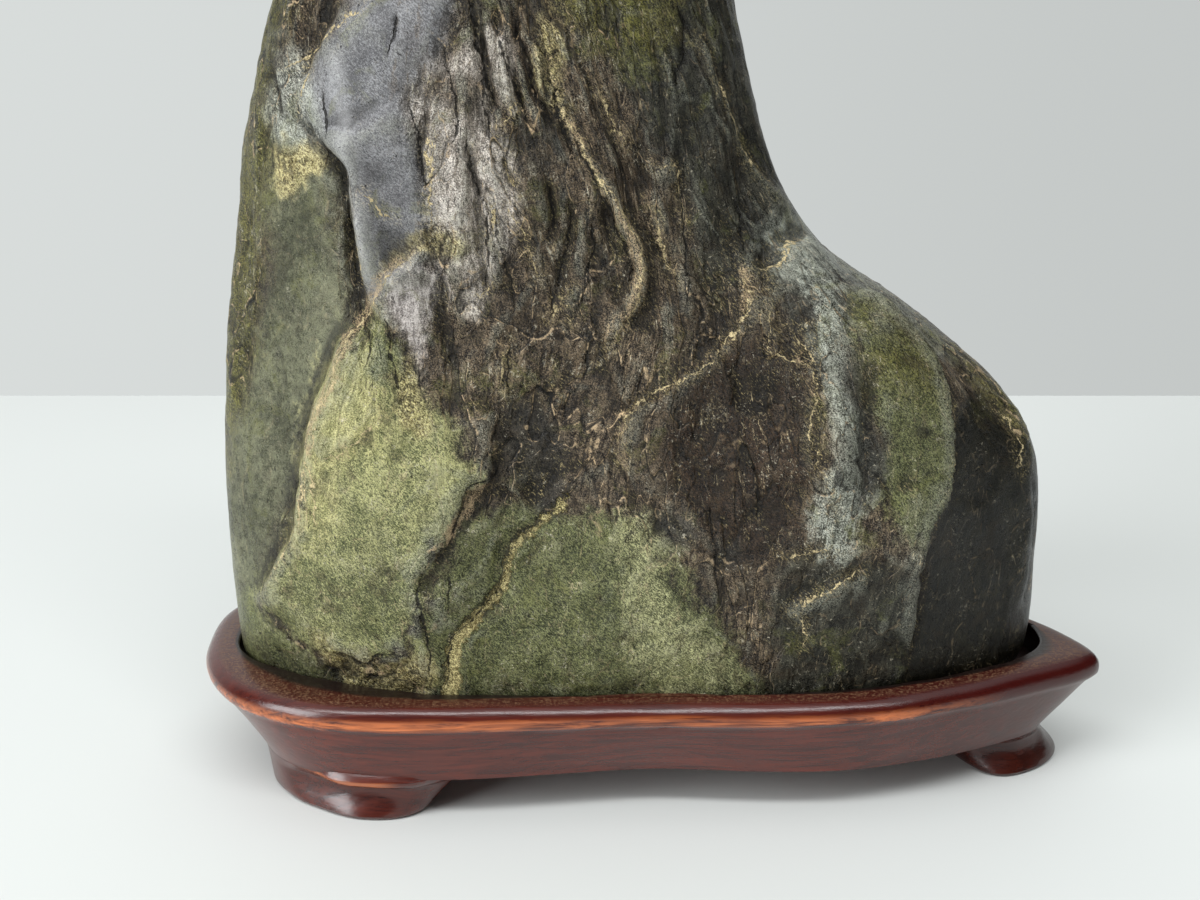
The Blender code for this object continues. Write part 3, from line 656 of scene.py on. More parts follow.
def raiseStone(body, shown):
    # height of the drawn forms along the normal
    x, z = body[:, 0], body[:, 2]
    bentX = x + 0.9 * noiseField(body, 7, 3) + 0.35 * noiseField(body, (2.2, 2.2, 2.6), 4)
    bentZ = z + 0.9 * noiseField(body, 7, 5)
    height = np.zeros(len(body))
    for side, lumps in stone["lumps"].items():
        for (centreX, centreZ), (wide, tall), tilt, rise in lumps:
            turn = math.radians(tilt)
            u = (x - centreX) * math.cos(turn) + (z - centreZ) * math.sin(turn)
            v = (z - centreZ) * math.cos(turn) - (x - centreX) * math.sin(turn)
            height += shown[side] * rise * np.exp(-((u / wide) ** 2) - (v / tall) ** 2)
    for side, ledges in stone["ledges"].items():
        for rise, reach, softness, *curve in ledges:
            away, signed, share = measureFrom(curve, bentX, bentZ, reach * 3)
            step = smoothStep(0.5 + signed / (2 * softness)) * np.exp(-np.maximum(signed, 0) / reach)
            height += shown[side] * rise * fadedEnds(share, 0.14) * step
    for side, flutes in stone["flutes"].items():
        for width, rise, *curve in flutes:
            away, signed, share = measureFrom(curve, bentX, bentZ)
            height += shown[side] * rise * fadedEnds(share, 0.2) * np.exp(-((away / width) ** 2))
    # and a broad unevenness
    return height + 1.1 * noiseField(body, (26, 26, 47), 1) + 0.35 * noiseField(body, (9, 9, 16), 2)


def lineFields(lines, x, z, shown):
    # for the nearest line: distance signed by side, half width drawn out to nothing at the ends, distance
    limit = stone["lineReach"]
    best, side, half = (np.full(x.shape, value) for value in (limit, limit, 0.0))
    for shownSide, sideLines in lines.items():
        for width, *curve in sideLines:
            reach, signed, share = measureFrom(curve, x, z)
            reach = reach + limit * (1 - shown[shownSide])
            closer = reach < best
            best = np.where(closer, reach, best)
            side = np.where(closer, signed, side)
            half = np.where(closer, width * fadedEnds(share, 0.3), half)
    return {"Side": np.clip(side, -limit, limit), "Half": half, "Away": best}


def flakes(points, size, seed):
    # broken flakes: their tilt and level, and how far each place is from a flake's edge
    rise, edge = [], []
    for place in (points / np.array(size) + seed * 5.17).tolist():
        reach, centres = noise.voronoi(place)
        tilt = noise.cell_vector(centres[0] * 9.7) - Vector((0.5, 0.5, 0.5))
        rise.append(noise.cell(centres[0] * 13.1) - 0.5 + (Vector(place) - centres[0]).dot(tilt))
        edge.append(reach[1] - reach[0])
    return np.array(rise), np.array(edge)


def buildStone():
    rows, columns = stone["rows"], stone["columns"]
    ball = bmesh.new()
    bmesh.ops.create_uvsphere(ball, u_segments=columns, v_segments=rows, radius=1.0)
    mesh = toMesh(ball, "stoneSkin")
    sphere = np.zeros(len(mesh.vertices) * 3)
    mesh.vertices.foreach_get("co", sphere)
    sphere = sphere.reshape(-1, 3)
    angle = np.arctan2(sphere[:, 1], sphere[:, 0])
    climb = 0.5 + np.arcsin(np.clip(sphere[:, 2], -1.0, 1.0)) / math.pi
    row = np.rint(climb * rows).astype(int)
    column = np.rint(angle / math.tau * columns).astype(int) % columns
    grid = np.zeros((rows + 1, columns), int)
    grid[row, column] = np.arange(len(sphere))
    grid[0] = np.flatnonzero(row == 0)[0]
    grid[rows] = np.flatnonzero(row == rows)[0]
    body = bodyPoints(angle - stone["frontCrowding"] * np.cos(angle), climb)

    def moveTo(points):
        mesh.vertices.foreach_set("co", (points * mm).ravel())
        mesh.update()

    def blurred(values, times):
        sheet = values[grid]
        for _ in range(times):
            sheet = (np.roll(sheet, 1, axis=1) + sheet + np.roll(sheet, -1, axis=1)) / 3
            sheet = (np.vstack([sheet[:1], sheet[:-1]]) + sheet + np.vstack([sheet[1:], sheet[-1:]])) / 3
        return sheet[row, column]

    moveTo(body)
    normals = np.zeros(len(mesh.vertices) * 3)
    mesh.vertex_normals.foreach_get("vector", normals)
    normals = normals.reshape(-1, 3)
    shown = {side: smoothStep((normals[:, 1] * side - 0.05) / 0.45) for side in (frontSide, backSide)}
    x, z = body[:, 0], body[:, 2]
    across = beddingCoordinate(x, z)
    bedded = np.stack([across, body[:, 1] * 0.7, z], axis=1)
    height = raiseStone(body, shown)

    # Regions are warped on the back, and most of them have outlines of their own there.
    warp = smoothStep(normals[:, 1] * 1.2 + 0.1) * 16
    regionX, regionZ = (
        level + warp * noiseField(body, 34, wide) + 2.5 * noiseField(body, 11, fine)
        for level, wide, fine in ((x, 8, 9), (z, 10, 11))
    )
    fields = {}
    behind = stone["fadeBehind"] * smoothStep((normals[:, 1] + 0.05) / 0.3)
    for name, outlines in stone["regions"].items():
        inside = insideOutlines(outlines, regionX, regionZ)
        inside = inside - (0 if name in stone["bothSides"] else behind)
        if name in stone["backRegions"]:
            hidden = insideOutlines(stone["backRegions"][name], regionX, regionZ)
            inside = np.maximum(inside, hidden - stone["fadeBehind"] + behind)
        fields[name] = np.clip(inside, -stone["fieldReach"], stone["fieldReach"])

    limit = stone["lineReach"]
    bentX = x + 0.6 * noiseField(body, 4, 12)
    bentZ = z + 0.6 * noiseField(body, 4, 14)
    for name, lines in stone["lines"].items():
        for ending, values in lineFields(lines, bentX, bentZ, shown).items():
            fields[name + ending] = values
    unseen = limit * (1 - shown[frontSide])
    away, signed, share = measureFrom(stone["lobeRib"], bentX, bentZ)
    fields["lobeRib"] = np.minimum(away + unseen, limit)
    away, signed, share = measureFrom(stone["yellowVein"], bentX, bentZ)
    fields["yellowSide"] = np.clip(signed, -limit, limit)
    fields["yellowVein"] = np.minimum(away - 0.5 - 1.2 * share**2 + unseen, limit)  # wider toward its foot

    calm = np.max([share * smoothStep((fields[name] + start) / width)
                   for name, (share, start, width) in stone["calm"].items()], axis=0)
    greenness = smoothStep((np.maximum(fields["green"], fields["bulge"]) + 1) / 4)
    fluted = smoothStep((z - 76) / 22) * smoothStep((8 - x - 0.12 * (z - 110)) / 12) * (1 - calm)
    rough = (1 - 0.9 * calm) * (1 - 0.6 * greenness) * (1 - fluted)
    broadside = 0.2 + 0.8 * smoothStep((np.abs(normals[:, 1]) - 0.3) / 0.45)  # quieter on the outline
    fluted, rough = fluted * broadside, rough * broadside
    warped = bedded + 2.6 * np.stack([noiseField(body, (8, 8, 12), seed) for seed in (40, 41, 42)], axis=1)
    fold = np.abs(noiseField(warped, (11.5, 18, 44), 20))
    foldSmall = np.abs(noiseField(warped, (4.6, 10, 20), 21))
    valley, valleySmall = smoothStep(1 - fold / 0.10), smoothStep(1 - foldSmall / 0.12)
    rise, edge = flakes(warped, (8.0, 14, 30), 1)
    riseSmall, edgeSmall = flakes(warped, (4.2, 9, 12), 2)
    riseWide, edgeWide = flakes(warped, (13, 14, 17), 3)
    split, splitSmall = 1 - smoothStep(edge / 0.16), 1 - smoothStep(edgeSmall / 0.18)
    splitWide = 1 - smoothStep(edgeWide / 0.10)
    # rounded folds with sharp valleys between them, then broken flakes
    height += fluted * (1.7 * fold - 0.45 - 0.15 * valley + 0.7 * foldSmall * (1 - valley) - 0.15)
    height += fluted * (0.7 * rise * (1 - split) - 0.15 * split + 0.25 * riseSmall * (1 - splitSmall))
    height += rough * (0.9 * fold - 0.2 + 0.9 * riseWide * (1 - splitWide) - 0.15 * splitWide)
    height += rough * (0.3 * riseSmall * (1 - splitSmall) + 0.5 * foldSmall - 0.1)
    height += (1 - 0.8 * calm) * (0.16 * noiseField(body, 2.6, 24) + 0.1 * noiseField(body, 1.5, 25))
    near = np.where(fields["crackAway"] < limit, np.abs(fields["crackSide"]), limit)
    height -= stone["crackDepth"] * np.exp(-((near / 0.7) ** 2)) * smoothStep(fields["crackHalf"] / 0.2)
    height -= stone["veinDepth"] * smoothStep((0.6 - fields["yellowVein"]) / 1.2)
    height *= smoothStep((z - seatHeight) / 4)

    creased = fluted * (0.9 * valley + 0.35 * valleySmall + 0.5 * split)
    fields["crease"] = np.clip(creased + rough * (0.6 * splitWide + 0.3 * valley), 0, 1)
    fields["hollow"] = blurred(height, 8) - height
    fields["hollowWide"] = blurred(height, 60) - height
    fields["across"], fields["calm"], fields["fluted"] = across, calm, fluted
    moveTo(body + normals * height[:, None])
    for name, values in fields.items():
        mesh.attributes.new(name, "FLOAT", "POINT").data.foreach_set("value", values.astype(np.float32))
    mesh.shade_smooth()
    return addObject("stoneSkin", mesh)


stonePiece = buildStone()


print("stage: stone finish")

stoneLook = {
    # colours as they show in even light, save a few that carry painted sheen and painted shade: one, or a
    # dark and a light one
    "tints": {
        "brown": ((30, 22, 15), (124, 108, 87)), "lobe": ((94, 93, 95), (146, 146, 148)),
        # the pale and face tints are partly painted sheen
        "paleAndSheen": ((140, 130, 119), (226, 217, 207)), "face": ((74, 76, 64), (182, 185, 172)),
        "ochre": ((118, 100, 52), (220, 207, 150)), "yellow": ((98, 84, 42), (222, 208, 150)),
        "speck": ((112, 114, 104), (204, 206, 196)), "olive": ((44, 43, 14), (112, 108, 52)),
        "bulge": ((84, 90, 54), (188, 186, 130)), "green": ((52, 57, 31), (128, 131, 87)),
        "flank": ((58, 60, 38), (120, 121, 95)), "slate": ((40, 38, 34), (70, 67, 60)),
        "maroon": ((10, 6, 2), (58, 41, 27)), "neck": ((16, 16, 11), (62, 62, 52)),
        # the shade tint is painted shade, and the cap tint is partly painted sheen
        "shade": ((4, 5, 1), (20, 20, 10)), "cap": ((130, 122, 118), (216, 208, 203)),
        "paler": ((96, 98, 66), (190, 188, 140)), "prime": ((132, 130, 80), (224, 216, 154)),
        # the sheen tint is a painted sheen, and the rubbed tint partly so
        "sheen": (194, 193, 193), "scratch": (206, 198, 176), "rubbedAndSheen": (186, 162, 128),
        # the tint laid on the crests is a painted sheen
        "crestSheen": (150, 151, 136), "moss": (98, 99, 50), "umber": (58, 45, 28), "grey": (116, 113, 98),
        "vein": (226, 206, 164), "dust": (188, 170, 122), "crack": (18, 15, 10),
    },
    # plain noises: scale, detail, roughness, distortion
    "noises": {
        "broad": (0.05, 3.0, 0.6), "cloud": (0.16, 4.0, 0.62, 0.6), "stain": (0.11, 4.0, 0.65, 0.8),
        "mottle": (0.62, 4.0, 0.65, 0.4), "grain": (4.4, 2.0, 0.7),
    },
    # shares from dark to light: even grain, and grain drawn out along the bedding
    "patterns": {
        "speckle": {"start": 0.44, "fleck": 3.2, "grain": 2.4, "mottle": 0.3, "cloud": 1.2},
        "fineGrain": {"start": 0.48, "fleck": 2.4, "grain": 2.0, "cloud": 1.5, "broad": 1.2},
        "streak": {"start": 0.42, "fibre": 2.6, "grain": 2.2, "cloud": 1.4},
        "smoothGrain": {"start": 0.5, "mottle": 1.4, "grain": 1.6, "broad": 2.0},
    },
    # region: softness of its edge, how ragged, strength, pattern, tints
    "layers": {
        "flank": (5.0, 0.9, 0.95, "smoothGrain", "flank"),
        "green": (3.0, 1.1, 0.9, "speckle", "green"),
        "lowPale": (3.0, 0.8, 0.75, "speckle", "paler"),
        "maroon": (3.5, 0.7, 0.9, "speckle", "maroon"),
        "neck": (3.0, 0.9, 0.95, "streak", "neck"),
        # the right flank's own dark colour deepened with painted shade
        "darkShadedFlank": (1.6, 0.25, 0.95, "streak", "shade"),
        # pale folds, lightened partly with painted sheen
        "paleFoldsAndSheen": (2.0, 0.3, 0.9, "streak", "paleAndSheen"),
        "brownPatch": (1.6, 0.4, 0.8, "streak", "brown"),
        # a grey face, on the front partly painted sheen
        "greyFaceAndSheen": (1.8, 0.5, 0.9, "streak", "face"),
        # painted sheen on the neck's shoulder
        "shoulderSheen": (2.4, 0.5, 0.7, "smoothGrain", "face"),
        "olive": (4.0, 0.8, 0.85, "speckle", "olive"),
        "bulge": (2.4, 1.0, 0.9, "fineGrain", "bulge"),
        "bulgePale": (4.0, 1.2, 0.8, "streak", "prime"),
        "lobe": (2.0, 0.35, 0.95, "fineGrain", "lobe"),
        # the bulge's pinkish grey cap, lightened with painted sheen
        "cap": (3.0, 0.9, 0.9, "streak", "cap"),
        "whiteSpeck": (2.0, 0.4, 0.7, "speckle", "speck"),
        "ochre": (1.6, 0.5, 0.8, "speckle", "ochre"),
        "slate": (1.8, 0.4, 0.85, "smoothGrain", "slate"),
    },
    # outlines of broken plates: scale, detail, strength
    "plates": ((0.11, 2.0, 1.0), (0.22, 1.4, 0.7)),
    "bumpHeight": 1.0,
    "specular": 0.31,
}


def stoneFinish():
    made, shader, place = newMaterial("waxedStone")
    x, y, z = place.apart()

    def field(name):
        return place.node("ShaderNodeAttribute", {"attribute_name": name}, output=2)

    across, calm, fluted, hollow, wide = (
        field(name) for name in ("across", "calm", "fluted", "hollow", "hollowWide")
    )
    strand = place.together(across, y * 0.6, z * 0.22)
    noises = {name: place.noise(*numbers) for name, numbers in stoneLook["noises"].items()}
    noises["fibre"] = fibre = strand.noise(1.1, 4.0, 0.68, 0.6)
    # short flecks, leaning from upper left to lower right
    noises["fleck"] = fleck = place.together((x + z) * 3.4, y * 2.0, (x - z) * 1.1).noise(1.0, 3.0, 0.7, 0.4)
    cloud, stain, mottle, grain = (noises[name] for name in ("cloud", "stain", "mottle", "grain"))

    def swing(start=0.0, **weights):
        # a sum of the named noises, each swinging about nothing
        total = start
        for name, weight in weights.items():
            total = (noises[name] - 0.5) * weight + total
        return total

    patterns = {name: swing(**weights).ramp(0.0, 1.0) for name, weights in stoneLook["patterns"].items()}
    ragged = swing(broad=10.0, cloud=14.0, mottle=7.0, fibre=4.0)

    def spread(name, edge, share):
        return (field(name) + ragged * share).ramp(-edge, edge)

    def shade(pattern, name):
        dark, lighter = stoneLook["tints"][name]
        return patterns[pattern].blend(tint(*dark), tint(*lighter))

    def lay(mask, strength, paint):
        # one more coat, in a plain tint or in a colour already mixed
        nonlocal colour
        paint = tint(*stoneLook["tints"][paint]) if isinstance(paint, str) else paint
        colour = (mask * strength).blend(colour, paint)

    colour = shade("streak", "brown")
    masks = {}
    for name, (edge, share, strength, pattern, tints) in stoneLook["layers"].items():
        masks[name] = spread(name, edge, share) * strength
        lay(masks[name], 1.0, shade(pattern, tints))
    paleFoldsAndSheen, greens = masks["paleFoldsAndSheen"], masks["green"].most(masks["bulge"])
    notPlain = 1.0 - masks["maroon"].most(masks["darkShadedFlank"]).most(masks["slate"])
    lively = 1.0 - calm * 0.7

    # the left flank and the bulge grow darker and greener toward the foot
    lowDown = (masks["bulge"] * 0.6).most(masks["flank"] * 0.35)
    lay(lowDown * swing(z - x * 0.5, cloud=24.0).ramp(92.0, 56.0), 1.0, shade("speckle", "green"))

    # stains that cross every region
    lay(stain.ramp(0.54, 0.66) * fleck.ramp(0.36, 0.56) * notPlain, 0.5, "moss")
    lay(stain.ramp(0.46, 0.36) * lively, 0.4, "umber")
    lay(cloud.ramp(0.56, 0.68) * (1.0 - calm) * fleck.ramp(0.4, 0.6) * notPlain, 0.4, "grey")

    # darker toward the foot, painted sheen on the crests and painted shade in the hollows
    lay(swing(z, cloud=10.0, mottle=4.0).ramp(31.0, 23.0) * (1.0 - masks["ochre"]), 0.5, "crack")
    lay(hollow.ramp(-0.05, -0.40) * grain.ramp(0.36, 0.60) * notPlain, 0.4, "crestSheen")
    lay(wide.ramp(-0.4, -2.0) * patterns["speckle"].ramp(0.2, 0.8) * notPlain, 0.2, "crestSheen")
    lay(wide.ramp(0.3, 1.8) * lively, 0.5, "crack")
    lay(hollow.ramp(0.04, 0.35), 0.65 - paleFoldsAndSheen * 0.3, "crack")

    # short dark nicks and pale scratches along the bedding, brown drips down the folds, dust
    nick = place.together(across * 1.9, y * 1.2, z * 0.45).noise(1.0, 3.0, 0.6, 0.5)
    nickGate = cloud.ramp(0.40, 0.54) * (1.0 - calm * 0.75) * fluted.ramp(0.1, 0.6, 0.25, 1.0)
    lay(nick.ramp(0.42, 0.36) * nickGate, 0.8, "crack")
    lay(nick.ramp(0.62, 0.68) * nickGate * fluted.ramp(0.2, 0.7), 0.6, "scratch")
    drip = place.together(across * 0.8, y, z * 0.13).noise(1.0, 3.0, 0.7, 0.3).ramp(0.54, 0.60)
    lay(drip * paleFoldsAndSheen, 0.55, shade("streak", "brown"))
    dusty = swing(hollow, mottle=0.6).ramp(0.06, 0.3) * stain.ramp(0.42, 0.58) * (1.0 - calm)
    lay(dusty * fleck.ramp(0.54, 0.70), 0.7, "dust")

    # thin tan threads that wander over the rough parts, and crumbs beside them
    thread = (strand.noise(0.42, 3.0, 0.66, 0.6) - 0.5).size().ramp(0.008, 0.001)
    gate = (place.noise(0.20, 2.0, 0.7) + spread("crumbly", 3.0, 0.5) * 0.06).ramp(0.54, 0.64)
    gate = gate * (1.0 - calm * 0.8)
    lay(thread * gate, 0.45, "vein")
    crumbs = place.noise(1.5, 2.0, 0.8, 0.9).ramp(0.62, 0.655) * (cloud + gate * 0.08).ramp(0.50, 0.60)
    lay(crumbs * lively, 0.6, "scratch")

    # plates a little higher than their neighbours, the lower ones darkened with painted shade, with a pale
    # broken edge and a painted shadow line under it
    plated = (1.0 - calm) * (1.0 - greens * 0.8)
    drawn = place.together(across, y * 0.6, z * 0.42)
    level, edges, edgeShadow = 0.0, 0.0, 0.0
    for scale, detail, share in stoneLook["plates"]:
        contour = drawn.noise(scale, detail, 0.5, 0.25) - 0.5
        level = contour.ramp(-0.012, 0.012) * share + level
        edges = contour.size().ramp(0.007, 0.002) * share + edges
        edgeShadow = (contour + 0.012).size().ramp(0.013, 0.004) * share + edgeShadow
    broken = mottle.ramp(0.47, 0.56) * plated * (1.0 - masks["maroon"] * 0.9) * (1.0 - masks["neck"] * 0.5)
    lay(level.ramp(0.9, 0.2) * plated, 0.3, "crack")
    lay(edgeShadow * cloud.ramp(0.42, 0.52) * plated, 0.75, "crack")
    lay(edges * broken, 0.75, "rubbedAndSheen")
    # painted shade in the creases
    creased = swing(field("crease") - paleFoldsAndSheen * 0.25, mottle=0.8).ramp(0.45, 0.95)
    lay(creased, 0.6, "crack")

    # drawn veins and cracks, with wandering edges
    wander = (place.noise(0.45, 2.0, 0.6) - 0.5) * 2.8 + (place.noise(1.9, 2.0, 0.6) - 0.5)
    width = place.noise(0.8, 3.0, 0.7).ramp(0.40, 0.64, 0.0, 0.75)

    def drawnLine(name, bend, outer, inner, far, near):
        side = (field(name + "Side") + wander * bend).size()
        line = (side - field(name + "Half") * width).ramp(outer, inner) * field(name + "Away").ramp(far, near)
        return line * field(name + "Half").ramp(0.02, 0.12)

    vein = drawnLine("vein", 1.0, 0.09, -0.05, 1.9, 1.3)
    crack = drawnLine("crack", 0.5, 0.12, -0.08, 1.6, 1.1)
    # a painted sheen along the crest of the lobe
    lay(swing(field("lobeRib"), mottle=1.6).ramp(2.6, 0.2) * masks["lobe"], 0.32, "sheen")
    # pale rubbed crests, partly painted sheen and painted reflection
    rubAndSheen = swing((field("rubbedAndSheenSide") + wander * 0.8).size() - field("rubbedAndSheenHalf"), mottle=3.0).ramp(0.5, -0.4)
    rubAndSheen = rubAndSheen * field("rubbedAndSheenAway").ramp(2.6, 1.8) * field("rubbedAndSheenHalf").ramp(0.02, 0.3)
    lay(rubAndSheen * (fibre * 0.5 + grain * 0.5).ramp(0.44, 0.56), 0.75, "rubbedAndSheen")
    halo = (field("veinSide") + wander * 1.5).size().ramp(2.6, 0.4) * field("veinAway").ramp(3.0, 1.0)
    lay(halo * fleck.ramp(0.50, 0.68), 0.4, "dust")
    lay(vein, 0.9, grain.blend(*(tint(*stoneLook["tints"][name]) for name in ("dust", "vein"))))
    yellowEdge = swing(field("yellowVein"), mottle=4.0, fleck=3.0)
    yellow = yellowEdge.ramp(0.3, -0.1)
    # a painted shadow along one side of the yellow vein
    lay((yellowEdge - 0.4).size().ramp(0.5, 0.1) * field("yellowSide").ramp(0.2, -0.2), 0.7, "crack")
    lay(yellow, 0.95, shade("speckle", "yellow"))
    lay(crack, 0.9, "crack")
    pitNoise = place.noise(1.1, 2.0, 0.5)
    pits = pitNoise.ramp(0.31, 0.26).most(pitNoise.ramp(0.50, 0.43) * field("ochre").ramp(0.4, 1.6) * 0.9)
    lay(pits, 0.6, "crack")

    # every colour is broken up by the same fine grain
    contrast = swing(0.5, fleck=2.2, grain=2.4, mottle=1.6).ramp(0.0, 1.0) - 0.48
    contrast = 1.0 + contrast * (1.1 - calm * 0.8) * (1.0 - greens * 0.55)

    relief = (
        ((fibre - 0.5) * (0.15 + fluted * 0.4) + swing(mottle=0.4, cloud=1.0)) * (1.0 - calm * 0.8)
        + swing(grain=0.22, fleck=0.22) * (1.0 - calm * 0.6)
        - crack * 0.6 - pits * 0.3 + vein * 0.15 - creased * 0.3 - yellow * 0.15
        + (nick - 0.5) * nickGate * 0.5 + level * plated * 0.36
    )
    heights = {"Height": relief, "Distance": stoneLook["bumpHeight"] * mm, "Strength": 1.0}
    feed(shader, {
        "Base Color": colour.scaled(contrast),
        "Roughness": swing(0.30, mottle=0.30, grain=0.2) + vein * 0.25 + dusty * 0.25,
        "Normal": place.node("ShaderNodeBump", None, heights),
        "Specular IOR Level": stoneLook["specular"],
    })
    return made


stonePiece.data.materials.append(stoneFinish())
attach(stonePiece, "root")
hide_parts("stone")


print("stage: stand")

stand = {
    "height": 26.0,
    "segments": 288,
    "socketDepth": 6.0,
    "socketRound": 0.7,
    "clearance": 0.7,
    "easeRight": 2.6,  # more room at the stone's right end
    "traceBelow": 0.5,  # how far under the rim the stone's outline is taken
    "undercutFront": 6.2,
    "undercutEnd": 11.8,
    "carving": 0.22,  # how uneven the hand-cut faces are
    "sharpAngle": 38,
    # the rim's outer edge seen from above
    "rim": [
        (-92.0, 6.0), (-89.6, -12.0), (-80.5, -26.5), (-66.0, -34.8), (-47.0, -37.0),
        (-22.0, -36.0), (0.0, -34.8), (22.0, -35.0), (42.0, -33.0), (60.0, -27.2),
        (76.0, -20.0), (88.0, -13.4), (90.4, -9.0), (87.5, -1.0), (82.0, 8.0),
        (70.0, 21.5), (48.0, 32.0), (16.0, 37.0), (-22.0, 37.4), (-56.0, 35.0),
        (-79.0, 27.0), (-89.0, 17.5),
    ],
    "middle": (0.8, -0.3),
    # share of the undercut and height, up the apron
    "apron": [(1.0, 9.5), (0.985, 9.8), (0.95, 10.4), (0.80, 12.3), (0.58, 15.2), (0.36, 18.2), (0.20, 20.2)],
    # inset from the rim's edge and height, over the lip
    "lip": [
        (1.05, 20.9), (0.45, 21.4), (0.1, 22.0), (0.0, 22.7), (0.06, 23.3), (0.35, 24.0),
        (0.85, 24.65), (1.6, 25.2), (2.6, 25.6), (3.8, 25.85), (5.2, 25.98),
    ],
    "feet": {
        "frontLeft": [
            (-76.6, -15.5), (-71.7, -23.2), (-65.9, -27.9), (-57.5, -32.0), (-49.0, -31.6),
            (-44.2, -26.5), (-46.5, -16.0), (-60.0, -9.5), (-73.0, -8.5),
        ],
        "frontRight": [
            (64.5, -9.0), (68.5, -14.6), (73.4, -15.3), (80.6, -11.2), (85.2, -4.9), (85.6, 1.5),
            (78.0, 6.5), (67.5, 3.5), (63.0, -3.0),
        ],
        "backLeft": [
            (-78.0, 12.0), (-72.0, 9.0), (-60.0, 9.5), (-47.5, 15.5), (-45.5, 25.5), (-50.5, 31.0),
            (-60.5, 30.6), (-71.0, 25.5), (-77.5, 18.5),
        ],
        "backRight": [
            (30.0, 24.5), (33.0, 17.0), (46.0, 12.5), (60.0, 12.0), (65.5, 14.5), (63.0, 20.0),
            (53.0, 26.5), (42.0, 29.8), (33.0, 29.6),
        ],
    },
    "footSegments": 64,
    # height, inset, how far it has come out to the apron's edge, hollow of the face, swell of its lid
    "footLevels": [
        (0.0, 0.9, 0.0, 0.2, 0.0), (0.35, 0.4, 0.0, 0.1, 0.0), (0.9, 0.1, 0.06, 0.2, 0.0),
        (1.8, 0.0, 0.14, 0.7, 0.0), (3.0, 0.0, 0.26, 1.5, 0.0), (4.4, 0.0, 0.42, 2.3, 0.0),
        (5.8, 0.0, 0.58, 2.7, 0.0), (6.8, 0.0, 0.70, 2.6, 0.0), (7.2, 0.0, 0.74, 2.4, 0.2),
        (7.5, 0.0, 0.78, 2.1, 1.6), (7.9, 0.0, 0.83, 1.7, 2.2), (8.6, 0.0, 0.92, 1.0, 2.1),
        (9.3, 0.0, 1.0, 0.3, 1.6), (10.2, 0.5, 1.0, 0.0, 1.1), (11.2, 0.8, 1.0, 0.0, 0.4),
        (13.0, 1.2, 1.0, 0.6, 0.0),
    ],
    "lidded": "frontLeft",
    "bracket": 9.0,  # how far the side toward the stand's middle leans out on its way up
    "bracketTop": 9.5,
}


def drawnIn(outline, distance):
    reach = np.linalg.norm(outline, axis=1)
    return outline * (1 - distance / reach)[:, None]


def ringsToForm(rings):
    # a closed skin: a circle extruded once for each ring, with a face at each end
    form = bmesh.new()
    loop = bmesh.ops.create_circle(form, segments=len(rings[0]), radius=1.0)["verts"]
    first = list(loop)
    for vertex, place in zip(loop, rings[0]):
        vertex.co = place
    edges = [edge for edge in form.edges]
    for ring in rings[1:]:
        grown = bmesh.ops.extrude_edge_only(form, edges=edges)["geom"]
        fresh = {item for item in grown if isinstance(item, bmesh.types.BMVert)}
        loop = [
            next(edge.other_vert(vertex) for edge in vertex.link_edges if edge.other_vert(vertex) in fresh)
            for vertex in loop
        ]
        edges = [item for item in grown if isinstance(item, bmesh.types.BMEdge)
                 and all(vertex in fresh for vertex in item.verts)]
        for vertex, place in zip(loop, ring):
            vertex.co = place
    form.faces.new(first)
    form.faces.new(loop)
    bmesh.ops.recalc_face_normals(form, faces=form.faces)
    return form


def atHeight(outline, z):
    return [((x + stand["middle"][0]) * mm, (y + stand["middle"][1]) * mm, z * mm) for x, y in outline]


def socketOutline(outline):
    # the stone's own outline just under the rim, with clearance round it
    cut = bmesh.new()
    cut.from_mesh(stonePiece.data)
    bmesh.ops.bisect_plane(
        cut, geom=cut.verts[:] + cut.edges[:] + cut.faces[:],
        plane_co=(0, 0, (stand["height"] - stand["traceBelow"]) * mm), plane_no=(0, 0, 1),
        clear_inner=True, clear_outer=True,
    )
    ring = np.array([vertex.co[:2] for vertex in cut.verts]) / mm - np.array(stand["middle"])
    cut.free()
    order = np.argsort(np.arctan2(ring[:, 1], ring[:, 0]))
    bearing = np.arctan2(ring[:, 1], ring[:, 0])[order]
    radius = np.hypot(ring[:, 0], ring[:, 1])[order]
    wanted = np.arctan2(outline[:, 1], outline[:, 0])
    reach = np.interp(wanted, bearing, radius, period=2 * math.pi)
    for _ in range(3):  # the cut edge is eased, not a copy of every bump
        reach = np.maximum(reach, (np.roll(reach, 1) + reach + np.roll(reach, -1)) / 3)
    room = stand["clearance"] + stand["easeRight"] * np.maximum(np.cos(wanted), 0) ** 24
    return np.stack([np.cos(wanted), np.sin(wanted)], axis=1) * (reach + room)[:, None]


def buildTray(outline, undercut):
    def carved(ring, z, seed):
        wobble = noiseField(np.column_stack([ring, np.full(len(ring), z * 3)]), 11, seed)
        return drawnIn(ring, -stand["carving"] * wobble)

    rings = [atHeight(carved(drawnIn(outline, undercut * share), z, 30), z) for share, z in stand["apron"]]
    rings += [atHeight(carved(drawnIn(outline, inset), z, 31), z) for inset, z in stand["lip"]]
    socket = socketOutline(outline)
    reach = np.linalg.norm(socket, axis=1)[:, None]
    top, rounding = stand["height"], stand["socketRound"]
    for share in (1.0, 0.6, 0.25):
        wider = socket * (1 + rounding * share / reach)
        rings.append(atHeight(wider, top - rounding * (1 - share) ** 2 * 0.6))
    rings.append(atHeight(socket, top - rounding))
    rings.append(atHeight(socket, top - stand["socketDepth"]))
    return toMesh(ringsToForm(rings), "carvedStand")


